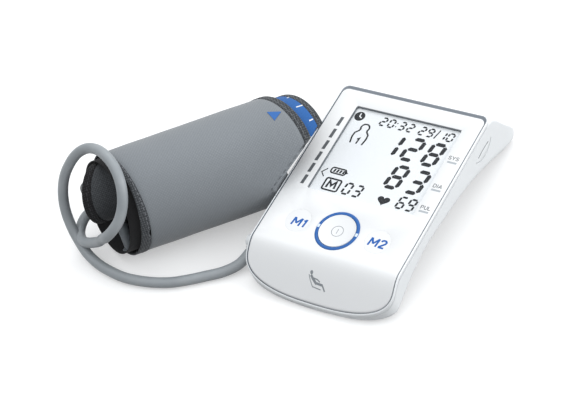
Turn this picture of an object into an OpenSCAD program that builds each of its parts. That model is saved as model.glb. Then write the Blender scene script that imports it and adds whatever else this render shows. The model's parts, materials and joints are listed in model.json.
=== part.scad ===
// Upper-arm blood pressure monitor: tabletop unit, wrap cuff and air hose.
// Millimetres. Table plane z = 0, +X to the unit's right, +Y to its rear.

/* [Monitor case] */
// Width across the front panel
panel_w = 97; // [96.6:0.2:97.4]
// Rearward tilt of the front panel above the table, degrees
tilt = 7; // [6.8:0.1:7.2]
// Height of the start button's centre above the table
button_h = 27.5; // [27.4:0.1:27.8]
// Width of the white rim around the front panel
rim = 1.3; // [1.2:0.1:1.4]
// Thickness of the front panel
panel_t = 1.5; // [1.4:0.05:1.5]

/* [Buttons] */
// Radius of the start button's cap
start_r = 11.3; // [11:0.05:11.4]
// Outer radius of the light ring around it
ring_r = 13.5; // [13.2:0.1:13.6]
// Radius of the two memory keys
key_r = 8; // [7:0.1:8]
// Distance of the memory keys from the centre line
key_x = 26.6; // [26:0.1:27]

/* [Display] */
// Width of the display window
lcd_w = 71.5; // [70:0.5:71.5]
// Height of the display window
lcd_h = 64.6; // [63:0.2:65]

/* [Cuff] */
// Outer radius of the rolled cuff
roll_r = 32.2; // [32:0.1:32.2]
// Radius of the open middle of the roll
core_r = 15.3; // [14.7:0.1:15.3]
// Heading of the roll's axis, degrees from +X
roll_yaw = 45.7; // [45.5:0.1:45.9]

/* [Air hose] */
// Outer diameter of the air hose
hose_d = 6.4; // [6:0.1:6.4]
// Sides of the hose's tube
hose_n = 10; // [8:1:12]

/* [Hidden] */
$fn = 64;
// the row's origin is under the middle of the object's box
org = [59.94, -38.03, 0];
w2 = panel_w / 2;
rear_v = 98.7;
nose_v = -24.8;
nose_tip = -40.2;
nose_p = 2.62;
bend_v = -16;
bend_k = 0.9;
bend_r = 6;
sx = -49.9;            // air socket's face
sy = -13.3;            // air socket's place
sz = 13.9;
wall_x = -50.6;        // the roll keeps left of this beside the unit
ax = -156;           // a point on the roll's axis
ay = -47.1;
cy = 6.76;             // the core turn's axis, off the roll's own
cz = 7.37;
lcd_x = 2.25;
lcd_y = 55.2;
pump_v = 96.6;
pump_n = -18.3;

// height of the panel's surface at v, falling away at the nose
function top(v) = -bend_k * (sqrt(pow(max(0, bend_v - v), 2) + bend_r * bend_r) - bend_r);
function sg(x) = x < 0 ? -1 : 1;
function se(x) = sg(x) * pow(abs(x), 2 / nose_p);
// plan outline, o wider at the sides and nose, b longer at the rear
function outline(o, b, rc = 4) = concat(
    [for (a = [0:18:90]) [w2 + o - rc + rc * cos(a), rear_v + b - rc + rc * sin(a)]],
    [for (a = [90:18:180]) [-w2 - o + rc + rc * cos(a), rear_v + b - rc + rc * sin(a)]],
    [for (a = [180:7.5:360]) [(w2 + o) * se(cos(a)), nose_v + (nose_v - nose_tip + o) * se(sin(a))]]);
vs = concat([112, -9], [for (v = [-12:-3:-45]) v]);
function rev(l) = [for (i = [len(l) - 1:-1:0]) l[i]];
function surf(d) = [for (v = vs) [v, top(v) - d]];

module tilted() translate([0, 0, button_h]) rotate([tilt, 0, 0]) children();
module prism(o, b, n0 = -60, n1 = 5, rc = 4)
    translate([0, 0, n0]) linear_extrude(height = n1 - n0) polygon(outline(o, b, rc));
module across(p) rotate([90, 0, 90]) translate([0, 0, -60]) linear_extrude(height = 120) polygon(p);
module slab(d0, d1) across(concat(surf(d0), rev(surf(d1))));
module rrect(x0, x1, y0, y1, r) {
    translate([x0 + r, y0]) square([x1 - x0 - 2 * r, y1 - y0]);
    translate([x0, y0 + r]) square([x1 - x0, y1 - y0 - 2 * r]);
    for (x = [x0 + r, x1 - r], y = [y0 + r, y1 - r]) translate([x, y]) circle(r = r);
}
module lcd_rect(g, r, n0, n1) translate([0, 0, n0]) linear_extrude(height = n1 - n0)
    rrect(lcd_x - lcd_w / 2 - g, lcd_x + lcd_w / 2 + g, lcd_y - lcd_h / 2 - g, lcd_y + lcd_h / 2 + g, r);
// a cylinder along u from u0 to u1
module rod_u(u0, u1, v, n, r) translate([u0, v, n]) rotate([0, 90, 0]) cylinder(r = r, h = u1 - u0);
module post(u, v, n0, n1, r) translate([u, v, n0]) cylinder(r = r, h = n1 - n0);
module box(u0, u1, v0, v1, n0, n1) translate([u0, v0, n0]) cube([u1 - u0, v1 - v0, n1 - n0]);

// swept tube along points, as one closed polyhedron
function unit(a) = a / norm(a);
function spline(P, m) = concat([for (i = [0:len(P) - 2]) for (k = [0:m - 1])
    let (t = k / m, a = P[max(i - 1, 0)], b = P[i], c = P[i + 1], d = P[min(i + 2, len(P) - 1)])
    0.5 * (2 * b + (c - a) * t + (2 * a - 5 * b + 4 * c - d) * t * t + (3 * b - a - 3 * c + d) * t * t * t)],
    [P[len(P) - 1]]);
function tangents(Q, d0, d1) = [for (i = [0:len(Q) - 1]) i == 0 && norm(d0) > 0 ? d0
    : i == len(Q) - 1 && norm(d1) > 0 ? d1 : unit(Q[min(i + 1, len(Q) - 1)] - Q[max(i - 1, 0)])];
function across_to(n, t) = unit(n - (n * t) * t);
function normals(T, i, acc) = i == len(T) ? acc
    : normals(T, i + 1, concat(acc, [across_to(acc[i - 1], T[i])]));
module sweep(P, r, m, sides, d0 = [0, 0, 0], d1 = [0, 0, 0]) {
    Q = spline(P, m);
    T = tangents(Q, d0, d1);
    N = normals(T, 1, [across_to(abs(T[0][2]) > 0.8 ? [1, 0, 0] : [0, 0, 1], T[0])]);
    pts = [for (i = [0:len(Q) - 1]) for (j = [0:sides - 1])
        Q[i] + r * (cos(360 * j / sides) * N[i] + sin(360 * j / sides) * cross(T[i], N[i]))];
    L = len(Q) - 1;
    polyhedron(points = pts, faces = concat(
        [[for (j = [0:sides - 1]) j]],
        [[for (j = [sides - 1:-1:0]) L * sides + j]],
        [for (i = [0:L - 1]) for (j = [0:sides - 1]) [i * sides + j, (i + 1) * sides + j, (i + 1) * sides + (j + 1) % sides]],
        [for (i = [0:L - 1]) for (j = [0:sides - 1]) [i * sides + j, (i + 1) * sides + (j + 1) % sides, i * sides + (j + 1) % sides]]));
}

// side profiles of the base, outside and inside, in (v, n)
outer_low = [[-42, -21.7], [-34, -22.3], [-28, -22.2], [-20, -19.8], [-10, -16.9], [0, -14.9], [10, -13.9],
    [20, -14.1], [36, -16.2], [50, -18.2], [64, -21.1], [78, -25.4], [90, -30.2], [100, -34.6], [108, -38.2],
    [112, -39.4], [116.5, -40.1], [119.8, -39.4], [121.8, -37.4], [122.2, -34.6], [119.6, -30], [113.5, -20.7],
    [107, -9.8], [104, -5], [101, -2.3]];
inner_low = [[-42, -19.9], [-38, -19.9], [-34, -20.2], [-28, -20], [-20, -17.6], [-10, -14.8], [0, -12.8], [10, -11.8],
    [20, -12], [36, -14], [50, -16], [64, -18.9], [78, -23.2], [90, -28], [100, -32.4], [108, -35.9],
    [113, -37.1], [117, -37.6], [119.4, -36.4], [119.9, -34.4], [117.4, -30], [111.3, -21], [105, -10.5],
    [101.8, -5.4], [99.7, -3.6], [99.7, 3]];
function parting(g) = [for (v = vs) if (v < 100 && v > -43) [v, top(v) - g]];
screw_at = [[43, 10, -12.1], [-43, 10, -12.1], [43, 70, -14], [-43, 70, -14]];
feet_at = [[36, 115, 3], [-36, 115, 3], [26, -31, 1.8], [-26, -31, 1.8]];

module top_shell() {
    color("white") tilted() difference() {
        union() {
            intersection() { prism(rim, 2.3, rc = 4.6); slab(0, 2.2); }
            intersection() { prism(-1, 0.6, rc = 3); slab(1, 3.4); }
            for (s = screw_at) post(s[0], s[1], -5.3, -2, 2.3);
        }
        intersection() { prism(0.45, 2, rc = 4.1); slab(-1, 1.6); }
        box(-36.6, 40.6, 19.6, 90.8, -8, 1);
        post(0, 0, -8, 1, 14);
        for (s = [-1, 1]) post(s * key_x, 0, -8, 1, 9);
        for (s = screw_at) post(s[0], s[1], -6, -2.6, 1.25);
    }
}
module front_panel() {
    color("white") tilted() difference() {
        intersection() { prism(-0.15, -0.15); slab(0, panel_t); }
        lcd_rect(0.1, 2, -4, 2);
        post(0, 0, -4, 2, ring_r);
        for (s = [-1, 1]) post(s * key_x, 0, -4, 2, key_r + 0.12);
    }
}
module panel_trim() {
    color("slategray") tilted() difference() {
        intersection() { prism(0.35, 1.9, rc = 4); slab(0.15, panel_t); }
        prism(-0.05, -0.05);
    }
}
module display_window() { color("lightcyan", 0.4) tilted() lcd_rect(0, 1.9, -1.5, -0.1); }
module lcd_glass() { color("gainsboro") tilted() box(-34.2, 38.6, 22.6, 87.9, -3.4, -1.7); }
module backlight() { color("ghostwhite") tilted() box(-34.2, 38.6, 22.6, 84.4, -5.2, -3.5); }
module elastomer_strip() { color("dimgray") tilted() box(-30, 34, 85, 87.4, -5.3, -3.45); }
module lcd_frame() {
    color("whitesmoke") tilted() difference() {
        box(-36.4, 40.4, 20, 90.4, -5.35, -1.75);
        box(-34.3, 38.7, 22.4, 88.1, -6, 0);
    }
}
module light_ring() {
    color("royalblue") tilted() difference() {
        post(0, 0, -1.6, 0.15, ring_r);
        post(0, 0, -2, 1, start_r + 0.2);
    }
}
module start_button() {
    color("white") tilted() difference() {
        union() {
            post(0, 0, -1.8, 0.5, start_r);
            post(0, 0, -2.5, -1.75, 12.9);
            post(0, 0, -3.4, -2.4, 2);
        }
        translate([0, 0, 200.22]) sphere(r = 200, $fn = 200);
    }
}
module memory_key(s) {
    color("white") tilted() {
        post(s * key_x, 0, -1.8, 0, key_r);
        post(s * key_x, 0, -2.5, -1.75, key_r + 0.7);
        post(s * key_x, 0, -3.4, -2.4, 2);
    }
}
module memory_key_1() memory_key(-1);
module memory_key_2() memory_key(1);
module button_switches() {
    color("black") tilted() for (x = [-key_x, 0, key_x]) {
        box(x - 3, x + 3, -3, 3, -5.4, -4.6);
        post(x, 0, -4.7, -4.3, 1.6);
    }
}
module main_board() { color("green") tilted() box(-39, 39, -14, 90, -7, -5.4); }
module board_chips() {
    color("black") tilted() {
        box(-2, 12, 22, 36, -8.6, -7);
        box(18, 24, 26, 34, -8.4, -7);
        box(16, 30, 42, 58, -9, -7);
        box(-8, -3, 42, 54, -8.6, -7);
        post(8, 50, -12, -7, 2.5);
        post(27, 72, -13, -7, 3);
    }
}
module pressure_sensor() {
    color("dimgray") tilted() { box(-27, -18, 44, 53, -9.6, -7); post(-22.5, 48.5, -12.6, -9.5, 1.3); }
}
module pump_head() {
    color("darkslategray") tilted() difference() {
        union() { rod_u(-6, 11.9, pump_v, pump_n, 10); rod_u(-11, -5, pump_v, pump_n, 1.6); }
        rod_u(4, 13, pump_v, pump_n, 5);
        rod_u(-12, 5, pump_v, pump_n, 0.8);
    }
}
module motor_can() {
    color("silver") tilted() difference() {
        rod_u(12, 34, pump_v, pump_n, 10);
        rod_u(13, 33, pump_v, pump_n, 9);
        rod_u(11, 35, pump_v, pump_n, 1.03);
    }
}
module motor_rotor() {
    color("peru") tilted() {
        rod_u(6.5, 34.6, pump_v, pump_n, 1);
        rod_u(15, 31, pump_v, pump_n, 7.5);
        rod_u(7, 10, pump_v + 1.2, pump_n, 2.6);
    }
}
module motor_mounts() {
    color("black") tilted() for (u = [15, 28]) difference() {
        rod_u(u, u + 3, pump_v, pump_n, 11.1);
        rod_u(u - 1, u + 4, pump_v, pump_n, 10);
    }
}
module exhaust_valve() {
    color("steelblue") tilted() difference() {
        union() { rod_u(-43, -28, 97, -17, 5.5); rod_u(-46, -42, 97, -17, 1.5); }
        rod_u(-37, -27, 97, -17, 1.55);
        rod_u(-47, -36, 97, -17, 0.7);
    }
}
module valve_plunger() { color("gray") tilted() rod_u(-35.5, -26.8, 97, -17, 1.5); }
module air_manifold() {
    color("ivory") tilted() {
        box(-37, -29, 70, 78, -15.5, -11.5);
        rod_u(-29.5, -26, 72, -13.5, 1.2);
        rod_u(-40, -36.5, 76, -13.5, 1.2);
        translate([-33, 70.5, -13.5]) rotate([90, 0, 0]) cylinder(r = 1.2, h = 3.5);
        translate([-33, 81, -13.5]) rotate([90, 0, 0]) cylinder(r = 1.2, h = 3.5);
    }
}
// silicone tubes inside the case
module tube(P) { color("seashell") tilted() sweep(P, 1.8, 3, 8); }
module socket_tube() tube([[-35, -14.86, -11.88], [-32.5, -14, -11.6], [-31.2, -9, -10.6], [-30.8, 0, -9.8], [-30.6, 10, -9.5], [-30.4, 30, -10], [-30.4, 46, -11.6], [-31.4, 57, -13], [-33, 66.9, -13.5]]);
module pump_tube() tube([[-11.1, pump_v, pump_n], [-14, 95.8, -18.2], [-20, 91.6, -17], [-26.5, 87.8, -15], [-31.6, 85.2, -13.8], [-33, 81.1, -13.5]]);
module valve_tube() tube([[-40.1, 76, -13.5], [-42.5, 77, -13.6], [-44, 81, -14.2], [-44.6, 87, -14.6], [-45.2, 90.8, -15]]);
module sensor_tube() tube([[-25.6, 72, -13.5], [-23.5, 70.4, -13.6], [-22.5, 64, -13.8], [-22.5, 56, -14.2], [-22.5, 51, -14.4]]);
// socket for the hose's plug, on the left side wall
module rod_x(x0, x1, r) translate([x0, sy, sz]) rotate([0, 90, 0]) cylinder(r = r, h = x1 - x0);
module air_socket() {
    color("gray") difference() {
        union() { rod_x(sx, -39, 3.6); rod_x(-39.5, -35.1, 1.7); }
        rod_x(sx - 1, -41.5, 2.45);
        rod_x(-42, -30, 0.8);
    }
}
module battery_pack() { color("royalblue") tilted() box(-18, 16, 60, 82, -16.5, -10.5); }
module charge_port() {
    color("silver") tilted() difference() {
        box(41, 47.3, 82, 90, -15, -12);
        box(42, 48, 82.4, 89.6, -14.6, -12.4);
    }
}
module charge_board() { color("green") tilted() box(36, 47, 80, 92, -16.6, -15); }
// lens outline of the port's cover, in (v, n), g bigger all round
module lens(g) intersection() {
    translate([86, -12.6 + 8.86]) circle(r = 13.36 + g, $fn = 96);
    translate([86, -12.6 - 32.6]) circle(r = 34.1 + g, $fn = 128);
}
module lens_u(u0, u1, g) rotate([90, 0, 90]) translate([0, 0, u0]) linear_extrude(height = u1 - u0) lens(g);
module port_cover() { color("whitesmoke") tilted() lens_u(48.3, 49.6, 0); }
module base_housing() {
    color("white") difference() {
        tilted() difference() {
            union() {
                difference() {
                    intersection() {
                        prism(rim - 0.1, 26, rc = 9);
                        across(concat(parting(2.3), outer_low));
                    }
                    intersection() {
                        prism(rim - 2.1, 24, rc = 7);
                        across(concat(parting(-3), inner_low));
                    }
                }
                intersection() {
                    prism(rim - 1, 25, rc = 8);
                    across(concat(parting(2.3), outer_low));
                    union() {
                        for (s = screw_at) post(s[0], s[1], -45, -5.4, 3.5);
                        for (x = [-35, 35], y = [14, 50]) post(x, y, -45, -7.05, 2);
                        difference() {
                            for (u = [15.2, 28.2]) box(u, u + 2.6, 88, 108, -45, -26);
                            rod_u(10, 40, pump_v, pump_n, 11.15);
                        }
                    }
                }
            }
            for (s = screw_at) {
                post(s[0], s[1], -60, -4, 1.4);
                post(s[0], s[1], -60, s[2], 2.6);
            }
            lens_u(40, 60, 0.25);
            prism(0.45, 2.2, -1.5, 5);
        }
        for (f = feet_at) translate([f[0], f[1], -5]) cylinder(r = 4.05, h = 5.05 + f[2]);
        rod_x(-60, -40, 3.65);
    }
}
module case_screws() {
    color("silver") tilted() for (s = screw_at) difference() {
        union() { post(s[0], s[1], s[2] - 1.5, s[2], 2.4); post(s[0], s[1], s[2] - 0.5, -2.9, 1.2); }
        box(s[0] - 1.4, s[0] + 1.4, s[1] - 0.3, s[1] + 0.3, s[2] - 2, s[2] - 0.7);
        box(s[0] - 0.3, s[0] + 0.3, s[1] - 1.4, s[1] + 1.4, s[2] - 2, s[2] - 0.7);
    }
}
module rubber_feet() { color("dimgray") for (f = feet_at) translate([f[0], f[1], 0]) cylinder(r = 4, h = f[2]); }

// the rolled cuff: x runs along the roll, planes are s = s0 + a*y + b*z
module roll_frame() translate([ax, ay, roll_r]) rotate([0, 0, roll_yaw]) children();
module turn_(s0, a, b, side) translate([s0, 0, 0]) rotate([0, -atan2(-b, sqrt(1 + a * a)), atan2(-a, 1)])
    translate([side > 0 ? 0 : -300, -150, -150]) cube([300, 300, 300]);
module roll(r0, r1, cy, cz, left, right) difference() {
    translate([-30, cy, cz]) rotate([0, 90, 0]) cylinder(r = r1, h = 230, $fn = 96);
    translate([-40, cy, cz]) rotate([0, 90, 0]) cylinder(r = r0, h = 250, $fn = 96);
    turn_(left[0], left[1], left[2], -1);
    turn_(right[0], right[1], right[2], 1);
}
pl0 = [25.9, -0.297, 0.258];    // left end of the left binding
pl1 = [29.9, -0.358, 0.192];    // left end of the outer fabric
pr1 = [125.8, -0.446, 0.308];   // right end of the outer fabric
pr2 = [129.2, -0.456, 0.339];   // right end of its binding
pb1 = [136.4, -0.445, 0.39];    // right end of the blue band
pe1 = [139.2, -0.445, 0.433];   // right end of the inner turn
pc0 = [14.7, 0.54, -0.15];      // left end of the core turn
pc1 = [20.2, 0.54, -0.15];
// room kept free for the unit beside the roll
module unit_room() rotate([90, 0, 0]) translate([0, 0, -160]) linear_extrude(height = 240)
    polygon([[wall_x, -5], [wall_x, 32], [wall_x + 34, 79], [90, 79], [90, -5]]);
module beside() difference() { roll_frame() children(); unit_room(); }
module sector(a0, a1) rotate([90, 0, 90]) translate([0, 0, -40]) linear_extrude(height = 260)
    polygon(concat([[0, 0]], [for (i = [0:4]) 60 * [cos(a0 + (a1 - a0) * i / 4), sin(a0 + (a1 - a0) * i / 4)]]));

module cuff_cover() { color("slategray") beside() roll(roll_r - 0.9, roll_r, 0, 0, pl1, pr1); }
module binding_left() { color("dimgray") beside() roll(roll_r - 1.1, roll_r, 0, 0, pl0, pl1); }
module binding_right() { color("dimgray") beside() roll(roll_r - 1.1, roll_r, 0, 0, pr1, pr2); }
module cuff_bladder() {
    color("gray") beside() intersection() {
        roll(roll_r - 2.6, roll_r - 1.15, 0, 0, [44, 0, 0], [106, 0, 0]);
        union() { sector(0, 120); sector(119, 230); }
    }
}
module closure_patch() {
    color("darkslategray") beside() intersection() {
        roll(roll_r - 2, roll_r - 1.15, 0, 0, [46, 0, 0], [96, 0, 0]);
        sector(250, 340);
    }
}
module cuff_inner_wrap() { color("slategray") beside() roll(roll_r - 4.4, roll_r - 3.6, 0, 0, [34, -0.33, 0.22], pb1); }
module size_band() { color("royalblue") beside() roll(roll_r - 3.58, roll_r - 3.2, 0, 0, [126.4, -0.446, 0.308], pb1); }
module inner_binding() { color("dimgray") beside() roll(roll_r - 4.5, roll_r - 3.1, 0, 0, pb1, pe1); }
module cuff_lining() { color("black") beside() roll(roll_r - 3.5, roll_r - 2.8, 0, 0, [20, -0.297, 0.258], pr1); }
module cuff_core_turn() { color("black") beside() roll(core_r, core_r + 2.3, cy, cz, pc1, [112, -0.3, 0.2]); }
module core_binding() { color("dimgray") beside() roll(core_r - 0.2, core_r + 2.5, cy, cz, pc0, pc1); }
// flat wire ring that the strap's end folds round
ring_s0 = 9.3;
module cinch_ring() {
    color("silver") roll_frame() translate([0, cy, cz]) {
        for (p = [104, 136]) rotate([p, 0, 0]) translate([ring_s0, core_r - 1.7, 0]) rotate([0, 90, 0]) cylinder(r = 1.4, h = 92);
        for (s = [ring_s0, ring_s0 + 92]) translate([s, 0, 0]) intersection() {
            rotate([0, 90, 0]) translate([0, 0, -1.2]) difference() { cylinder(r = core_r - 0.4, h = 2.4); translate([0, 0, -1]) cylinder(r = core_r - 3, h = 5); }
            translate([-s, 0, 0]) sector(104, 136);
        }
    }
}
// elbow fitting where the hose joins the air bag, inside the roll's mouth
fit_s = 24.5;
fit_a = -119;
fit_r = 16;
module at_fitting() roll_frame() translate([fit_s, 0, 0]) rotate([fit_a, 0, 0]) rotate([-90, 0, 0]) children();
module at_barrel() roll_frame() translate([fit_s, fit_r * cos(fit_a), fit_r * sin(fit_a)]) rotate([-90, 0, 0]) children();
module hose_fitting() {
    color("gray") {
        at_fitting() {
            translate([0, 0, roll_r - 4.8]) cylinder(r = 4.4, h = 0.8);
            translate([0, 0, fit_r]) cylinder(r = 2.9, h = roll_r - 4.7 - fit_r);
        }
        at_barrel() { sphere(r = 3.7); cylinder(r = 3.3, h = 5.4); }
    }
}
module hose_sleeve() {
    color("dimgray") at_barrel() translate([0, 0, 2.4]) difference() {
        cylinder(r = 4.2, h = 2.9);
        translate([0, 0, -1]) cylinder(r = 3.35, h = 6);
    }
}
across_w = [-sin(roll_yaw), cos(roll_yaw), 0];
fit_end = [ax, ay, roll_r + fit_r * sin(fit_a)] + fit_s * [cos(roll_yaw), sin(roll_yaw), 0]
    + (fit_r * cos(fit_a) + 5.45) * across_w;
// the hose's route, from the plug to the cuff's fitting
route = [[-53.6, -17.2, 10], [-58.2, -25.4, 5.2], [-65.4, -33, 3.5], [-74, -39.6, 3.4], [-82.4, -45.6, 3.4],
    [-91.5, -51, 3.4], [-101.5, -54.6, 3.4], [-112, -56.8, 3.4], [-122.4, -57.6, 3.4], [-133, -56.6, 3.6],
    [-143.2, -54.6, 4.2], [-153, -51.4, 6.4], [-161.5, -47, 11.2], [-168, -42.8, 18.4], [-171.6, -39, 27.6],
    [-172.2, -35.2, 37.6], [-170.4, -31.2, 47.2], [-166, -27.2, 56], [-159.5, -23.8, 63.8], [-150.6, -22.4, 69.6],
    [-140.6, -24, 72.8], [-130.8, -27.8, 73.6], [-121.6, -33, 71.6], [-115.5, -38.8, 65.4], [-113.3, -44.7, 57],
    [-114.8, -50.4, 48.5], [-120, -54.5, 41], [-127.2, -55, 33.6], [-134, -51.5, 27], [-141, -50.3, 20.4],
    [-155, -48.6, 13.7], [-163.4, -42.3, 12.6], [-166, -33.2, 14.8], [-162.6, -25.5, 17], [-154.8, -21.3, 17.9],
    [-146.2, -22.8, 18.2], fit_end];
module air_hose() { color("darkgray") sweep(route, hose_d / 2, 2, hose_n, [0, -sqrt(0.5), -sqrt(0.5)], -across_w); }
module air_plug() {
    color("gray") difference() {
        union() {
            rod_x(-56.8, -50.2, 3.8);
            rod_x(-50.4, -42.2, 2.4);
            translate([-53.6, sy, sz]) rotate([135, 0, 0]) cylinder(r = 3.5, h = 5.45);
        }
        difference() { rod_x(-46.2, -44.8, 4); rod_x(-47, -44, 1.7); }
    }
}
module plug_seal() { color("black") difference() { rod_x(-46.15, -44.85, 2.42); rod_x(-47, -44, 1.7); } }

translate(org) top_shell();
translate(org) front_panel();
translate(org) panel_trim();
translate(org) display_window();
translate(org) lcd_glass();
translate(org) lcd_frame();
translate(org) backlight();
translate(org) elastomer_strip();
translate(org) light_ring();
translate(org) start_button();
translate(org) memory_key_1();
translate(org) memory_key_2();
translate(org) button_switches();
translate(org) main_board();
translate(org) board_chips();
translate(org) pressure_sensor();
translate(org) pump_head();
translate(org) motor_can();
translate(org) motor_rotor();
translate(org) motor_mounts();
translate(org) exhaust_valve();
translate(org) valve_plunger();
translate(org) air_manifold();
translate(org) socket_tube();
translate(org) pump_tube();
translate(org) valve_tube();
translate(org) sensor_tube();
translate(org) air_socket();
translate(org) battery_pack();
translate(org) charge_port();
translate(org) charge_board();
translate(org) port_cover();
translate(org) base_housing();
translate(org) case_screws();
translate(org) rubber_feet();
translate(org) cuff_cover();
translate(org) cuff_bladder();
translate(org) closure_patch();
translate(org) cuff_inner_wrap();
translate(org) size_band();
translate(org) cuff_lining();
translate(org) cuff_core_turn();
translate(org) core_binding();
translate(org) binding_left();
translate(org) binding_right();
translate(org) inner_binding();
translate(org) cinch_ring();
translate(org) hose_fitting();
translate(org) hose_sleeve();
translate(org) air_hose();
translate(org) air_plug();
translate(org) plug_seal();
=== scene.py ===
import bpy
import bmesh
import json
import math
import random
from mathutils import Vector, Matrix


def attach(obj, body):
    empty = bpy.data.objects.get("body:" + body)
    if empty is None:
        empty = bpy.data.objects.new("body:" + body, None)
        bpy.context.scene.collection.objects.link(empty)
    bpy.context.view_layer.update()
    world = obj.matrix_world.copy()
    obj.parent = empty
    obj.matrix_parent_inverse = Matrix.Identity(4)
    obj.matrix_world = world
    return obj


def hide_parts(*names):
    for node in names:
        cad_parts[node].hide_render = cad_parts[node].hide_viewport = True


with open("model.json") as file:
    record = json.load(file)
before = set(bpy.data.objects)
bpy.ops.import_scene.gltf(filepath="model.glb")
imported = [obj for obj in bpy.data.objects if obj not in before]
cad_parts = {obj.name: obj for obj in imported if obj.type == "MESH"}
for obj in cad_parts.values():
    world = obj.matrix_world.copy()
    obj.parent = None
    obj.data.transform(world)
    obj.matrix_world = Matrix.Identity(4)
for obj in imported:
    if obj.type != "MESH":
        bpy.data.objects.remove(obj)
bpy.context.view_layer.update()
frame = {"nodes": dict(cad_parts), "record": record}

pi = math.pi
OX, OY = 59.94, -38.03          # the row's origin, in the table frame (mm)
TILT = math.radians(7.0)
BUTTON_H = 27.5
CT, ST = math.cos(TILT), math.sin(TILT)


def T(x, y, z):
    """table frame, mm -> row frame, m"""
    return Vector(((x + OX) * 0.001, (y + OY) * 0.001, z * 0.001))


def PN(u, v, n):
    """panel frame, mm -> row frame, m"""
    return T(u, v * CT - n * ST, v * ST + n * CT + BUTTON_H)


def cosd(a):
    return math.cos(math.radians(a))


def sind(a):
    return math.sin(math.radians(a))


# ---------------------------------------------------------------- camera
scene = bpy.context.scene
right = Vector((0.8335, 0.5052, -0.2239)).normalized()
fwd = Vector((-0.5041, 0.5292, -0.6825)).normalized()
up = right.cross(fwd).normalized()
right = fwd.cross(up).normalized()
cam_data = bpy.data.cameras.new("camera")
cam_data.sensor_width = 36.0
cam_data.sensor_fit = "HORIZONTAL"
cam_data.lens = 119.70
cam_data.clip_start = 0.05
cam_data.clip_end = 50
cam = bpy.data.objects.new("camera", cam_data)
m = Matrix.Identity(4)
for i, a in enumerate((right, up, -fwd)):
    for k in range(3):
        m[k][i] = a[k]
m.translation = T(515.9, -574.9, 784.0)
cam.matrix_world = m
scene.collection.objects.link(cam)
scene.camera = cam


# ---------------------------------------------------------------- materials
class Nodes:
    def __init__(self, name, base, rough, metallic=0.0, spec=None, coat=0.0, sheen=0.0, alpha=1.0):
        self.mat = bpy.data.materials.new(name)
        self.mat.use_nodes = True
        self.t = self.mat.node_tree
        self.b = self.t.nodes["Principled BSDF"]
        self.b.inputs["Base Color"].default_value = (*base, 1.0)
        self.b.inputs["Roughness"].default_value = rough
        self.b.inputs["Metallic"].default_value = metallic
        if spec is not None:
            self.b.inputs["Specular IOR Level"].default_value = spec
        if coat:
            self.b.inputs["Coat Weight"].default_value = coat
            self.b.inputs["Coat Roughness"].default_value = 0.08
        if sheen:
            self.b.inputs["Sheen Weight"].default_value = sheen
            self.b.inputs["Sheen Roughness"].default_value = 0.45
        if alpha < 1:
            self.b.inputs["Alpha"].default_value = alpha
        self.mat.diffuse_color = (*base, 1.0)

    def add(self, kind, **values):
        n = self.t.nodes.new(kind)
        for k, v in values.items():
            if k.startswith("in_"):
                n.inputs[k[3:].replace("_", " ")].default_value = v
            else:
                setattr(n, k, v)
        return n

    def link(self, a, i, b, j):
        self.t.links.new(a.outputs[i], b.inputs[j])

    def coords(self, which="Object", scale=1.0, stretch=(1, 1, 1)):
        tc = self.add("ShaderNodeTexCoord")
        mp = self.add("ShaderNodeMapping")
        mp.inputs["Scale"].default_value = tuple(scale * s for s in stretch)
        self.link(tc, which, mp, "Vector")
        return mp

    def noise(self, scale, detail=3.0, rough=0.5, which="Object", stretch=(1, 1, 1)):
        mp = self.coords(which, 1.0, stretch)
        n = self.add("ShaderNodeTexNoise")
        n.inputs["Scale"].default_value = scale
        n.inputs["Detail"].default_value = detail
        n.inputs["Roughness"].default_value = rough
        self.link(mp, "Vector", n, "Vector")
        return n

    def ramp(self, src, out, stops, to="Base Color"):
        r = self.add("ShaderNodeValToRGB")
        e = r.color_ramp.elements
        e[0].position, e[0].color = stops[0][0], (*stops[0][1], 1)
        e[1].position, e[1].color = stops[-1][0], (*stops[-1][1], 1)
        for p, c in stops[1:-1]:
            x = e.new(p)
            x.color = (*c, 1)
        self.link(src, out, r, "Fac")
        if to:
            self.t.links.new(r.outputs["Color"], self.b.inputs[to])
        return r

    def bump(self, src, out, strength, dist):
        b = self.add("ShaderNodeBump")
        b.inputs["Strength"].default_value = strength
        b.inputs["Distance"].default_value = dist
        self.link(src, out, b, "Height")
        self.t.links.new(b.outputs["Normal"], self.b.inputs["Normal"])
        return b

    def vary_rough(self, src, out, lo, hi):
        r = self.add("ShaderNodeMapRange")
        r.inputs["To Min"].default_value = lo
        r.inputs["To Max"].default_value = hi
        self.link(src, out, r, "Value")
        self.t.links.new(r.outputs["Result"], self.b.inputs["Roughness"])


def tint(c, k):
    return tuple(min(1.0, x * k) for x in c)


def plastic(name, base, rough, spark=0.0, scale=2500, vary=0.03, coat=0.0, spec=None):
    """moulded plastic: faint tone variation, fine spark-eroded bump"""
    s = Nodes(name, base, rough, coat=coat, spec=spec)
    n = s.noise(28, 3)
    s.ramp(n, "Fac", [(0.3, tint(base, 1 - vary)), (0.7, tint(base, 1 + vary * 0.5))])
    f = s.noise(scale, 2)
    s.vary_rough(s.noise(160, 2), "Fac", max(0.02, rough - 0.05), rough + 0.06)
    if spark:
        s.bump(f, "Fac", spark, 0.00006)
    return s.mat


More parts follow.
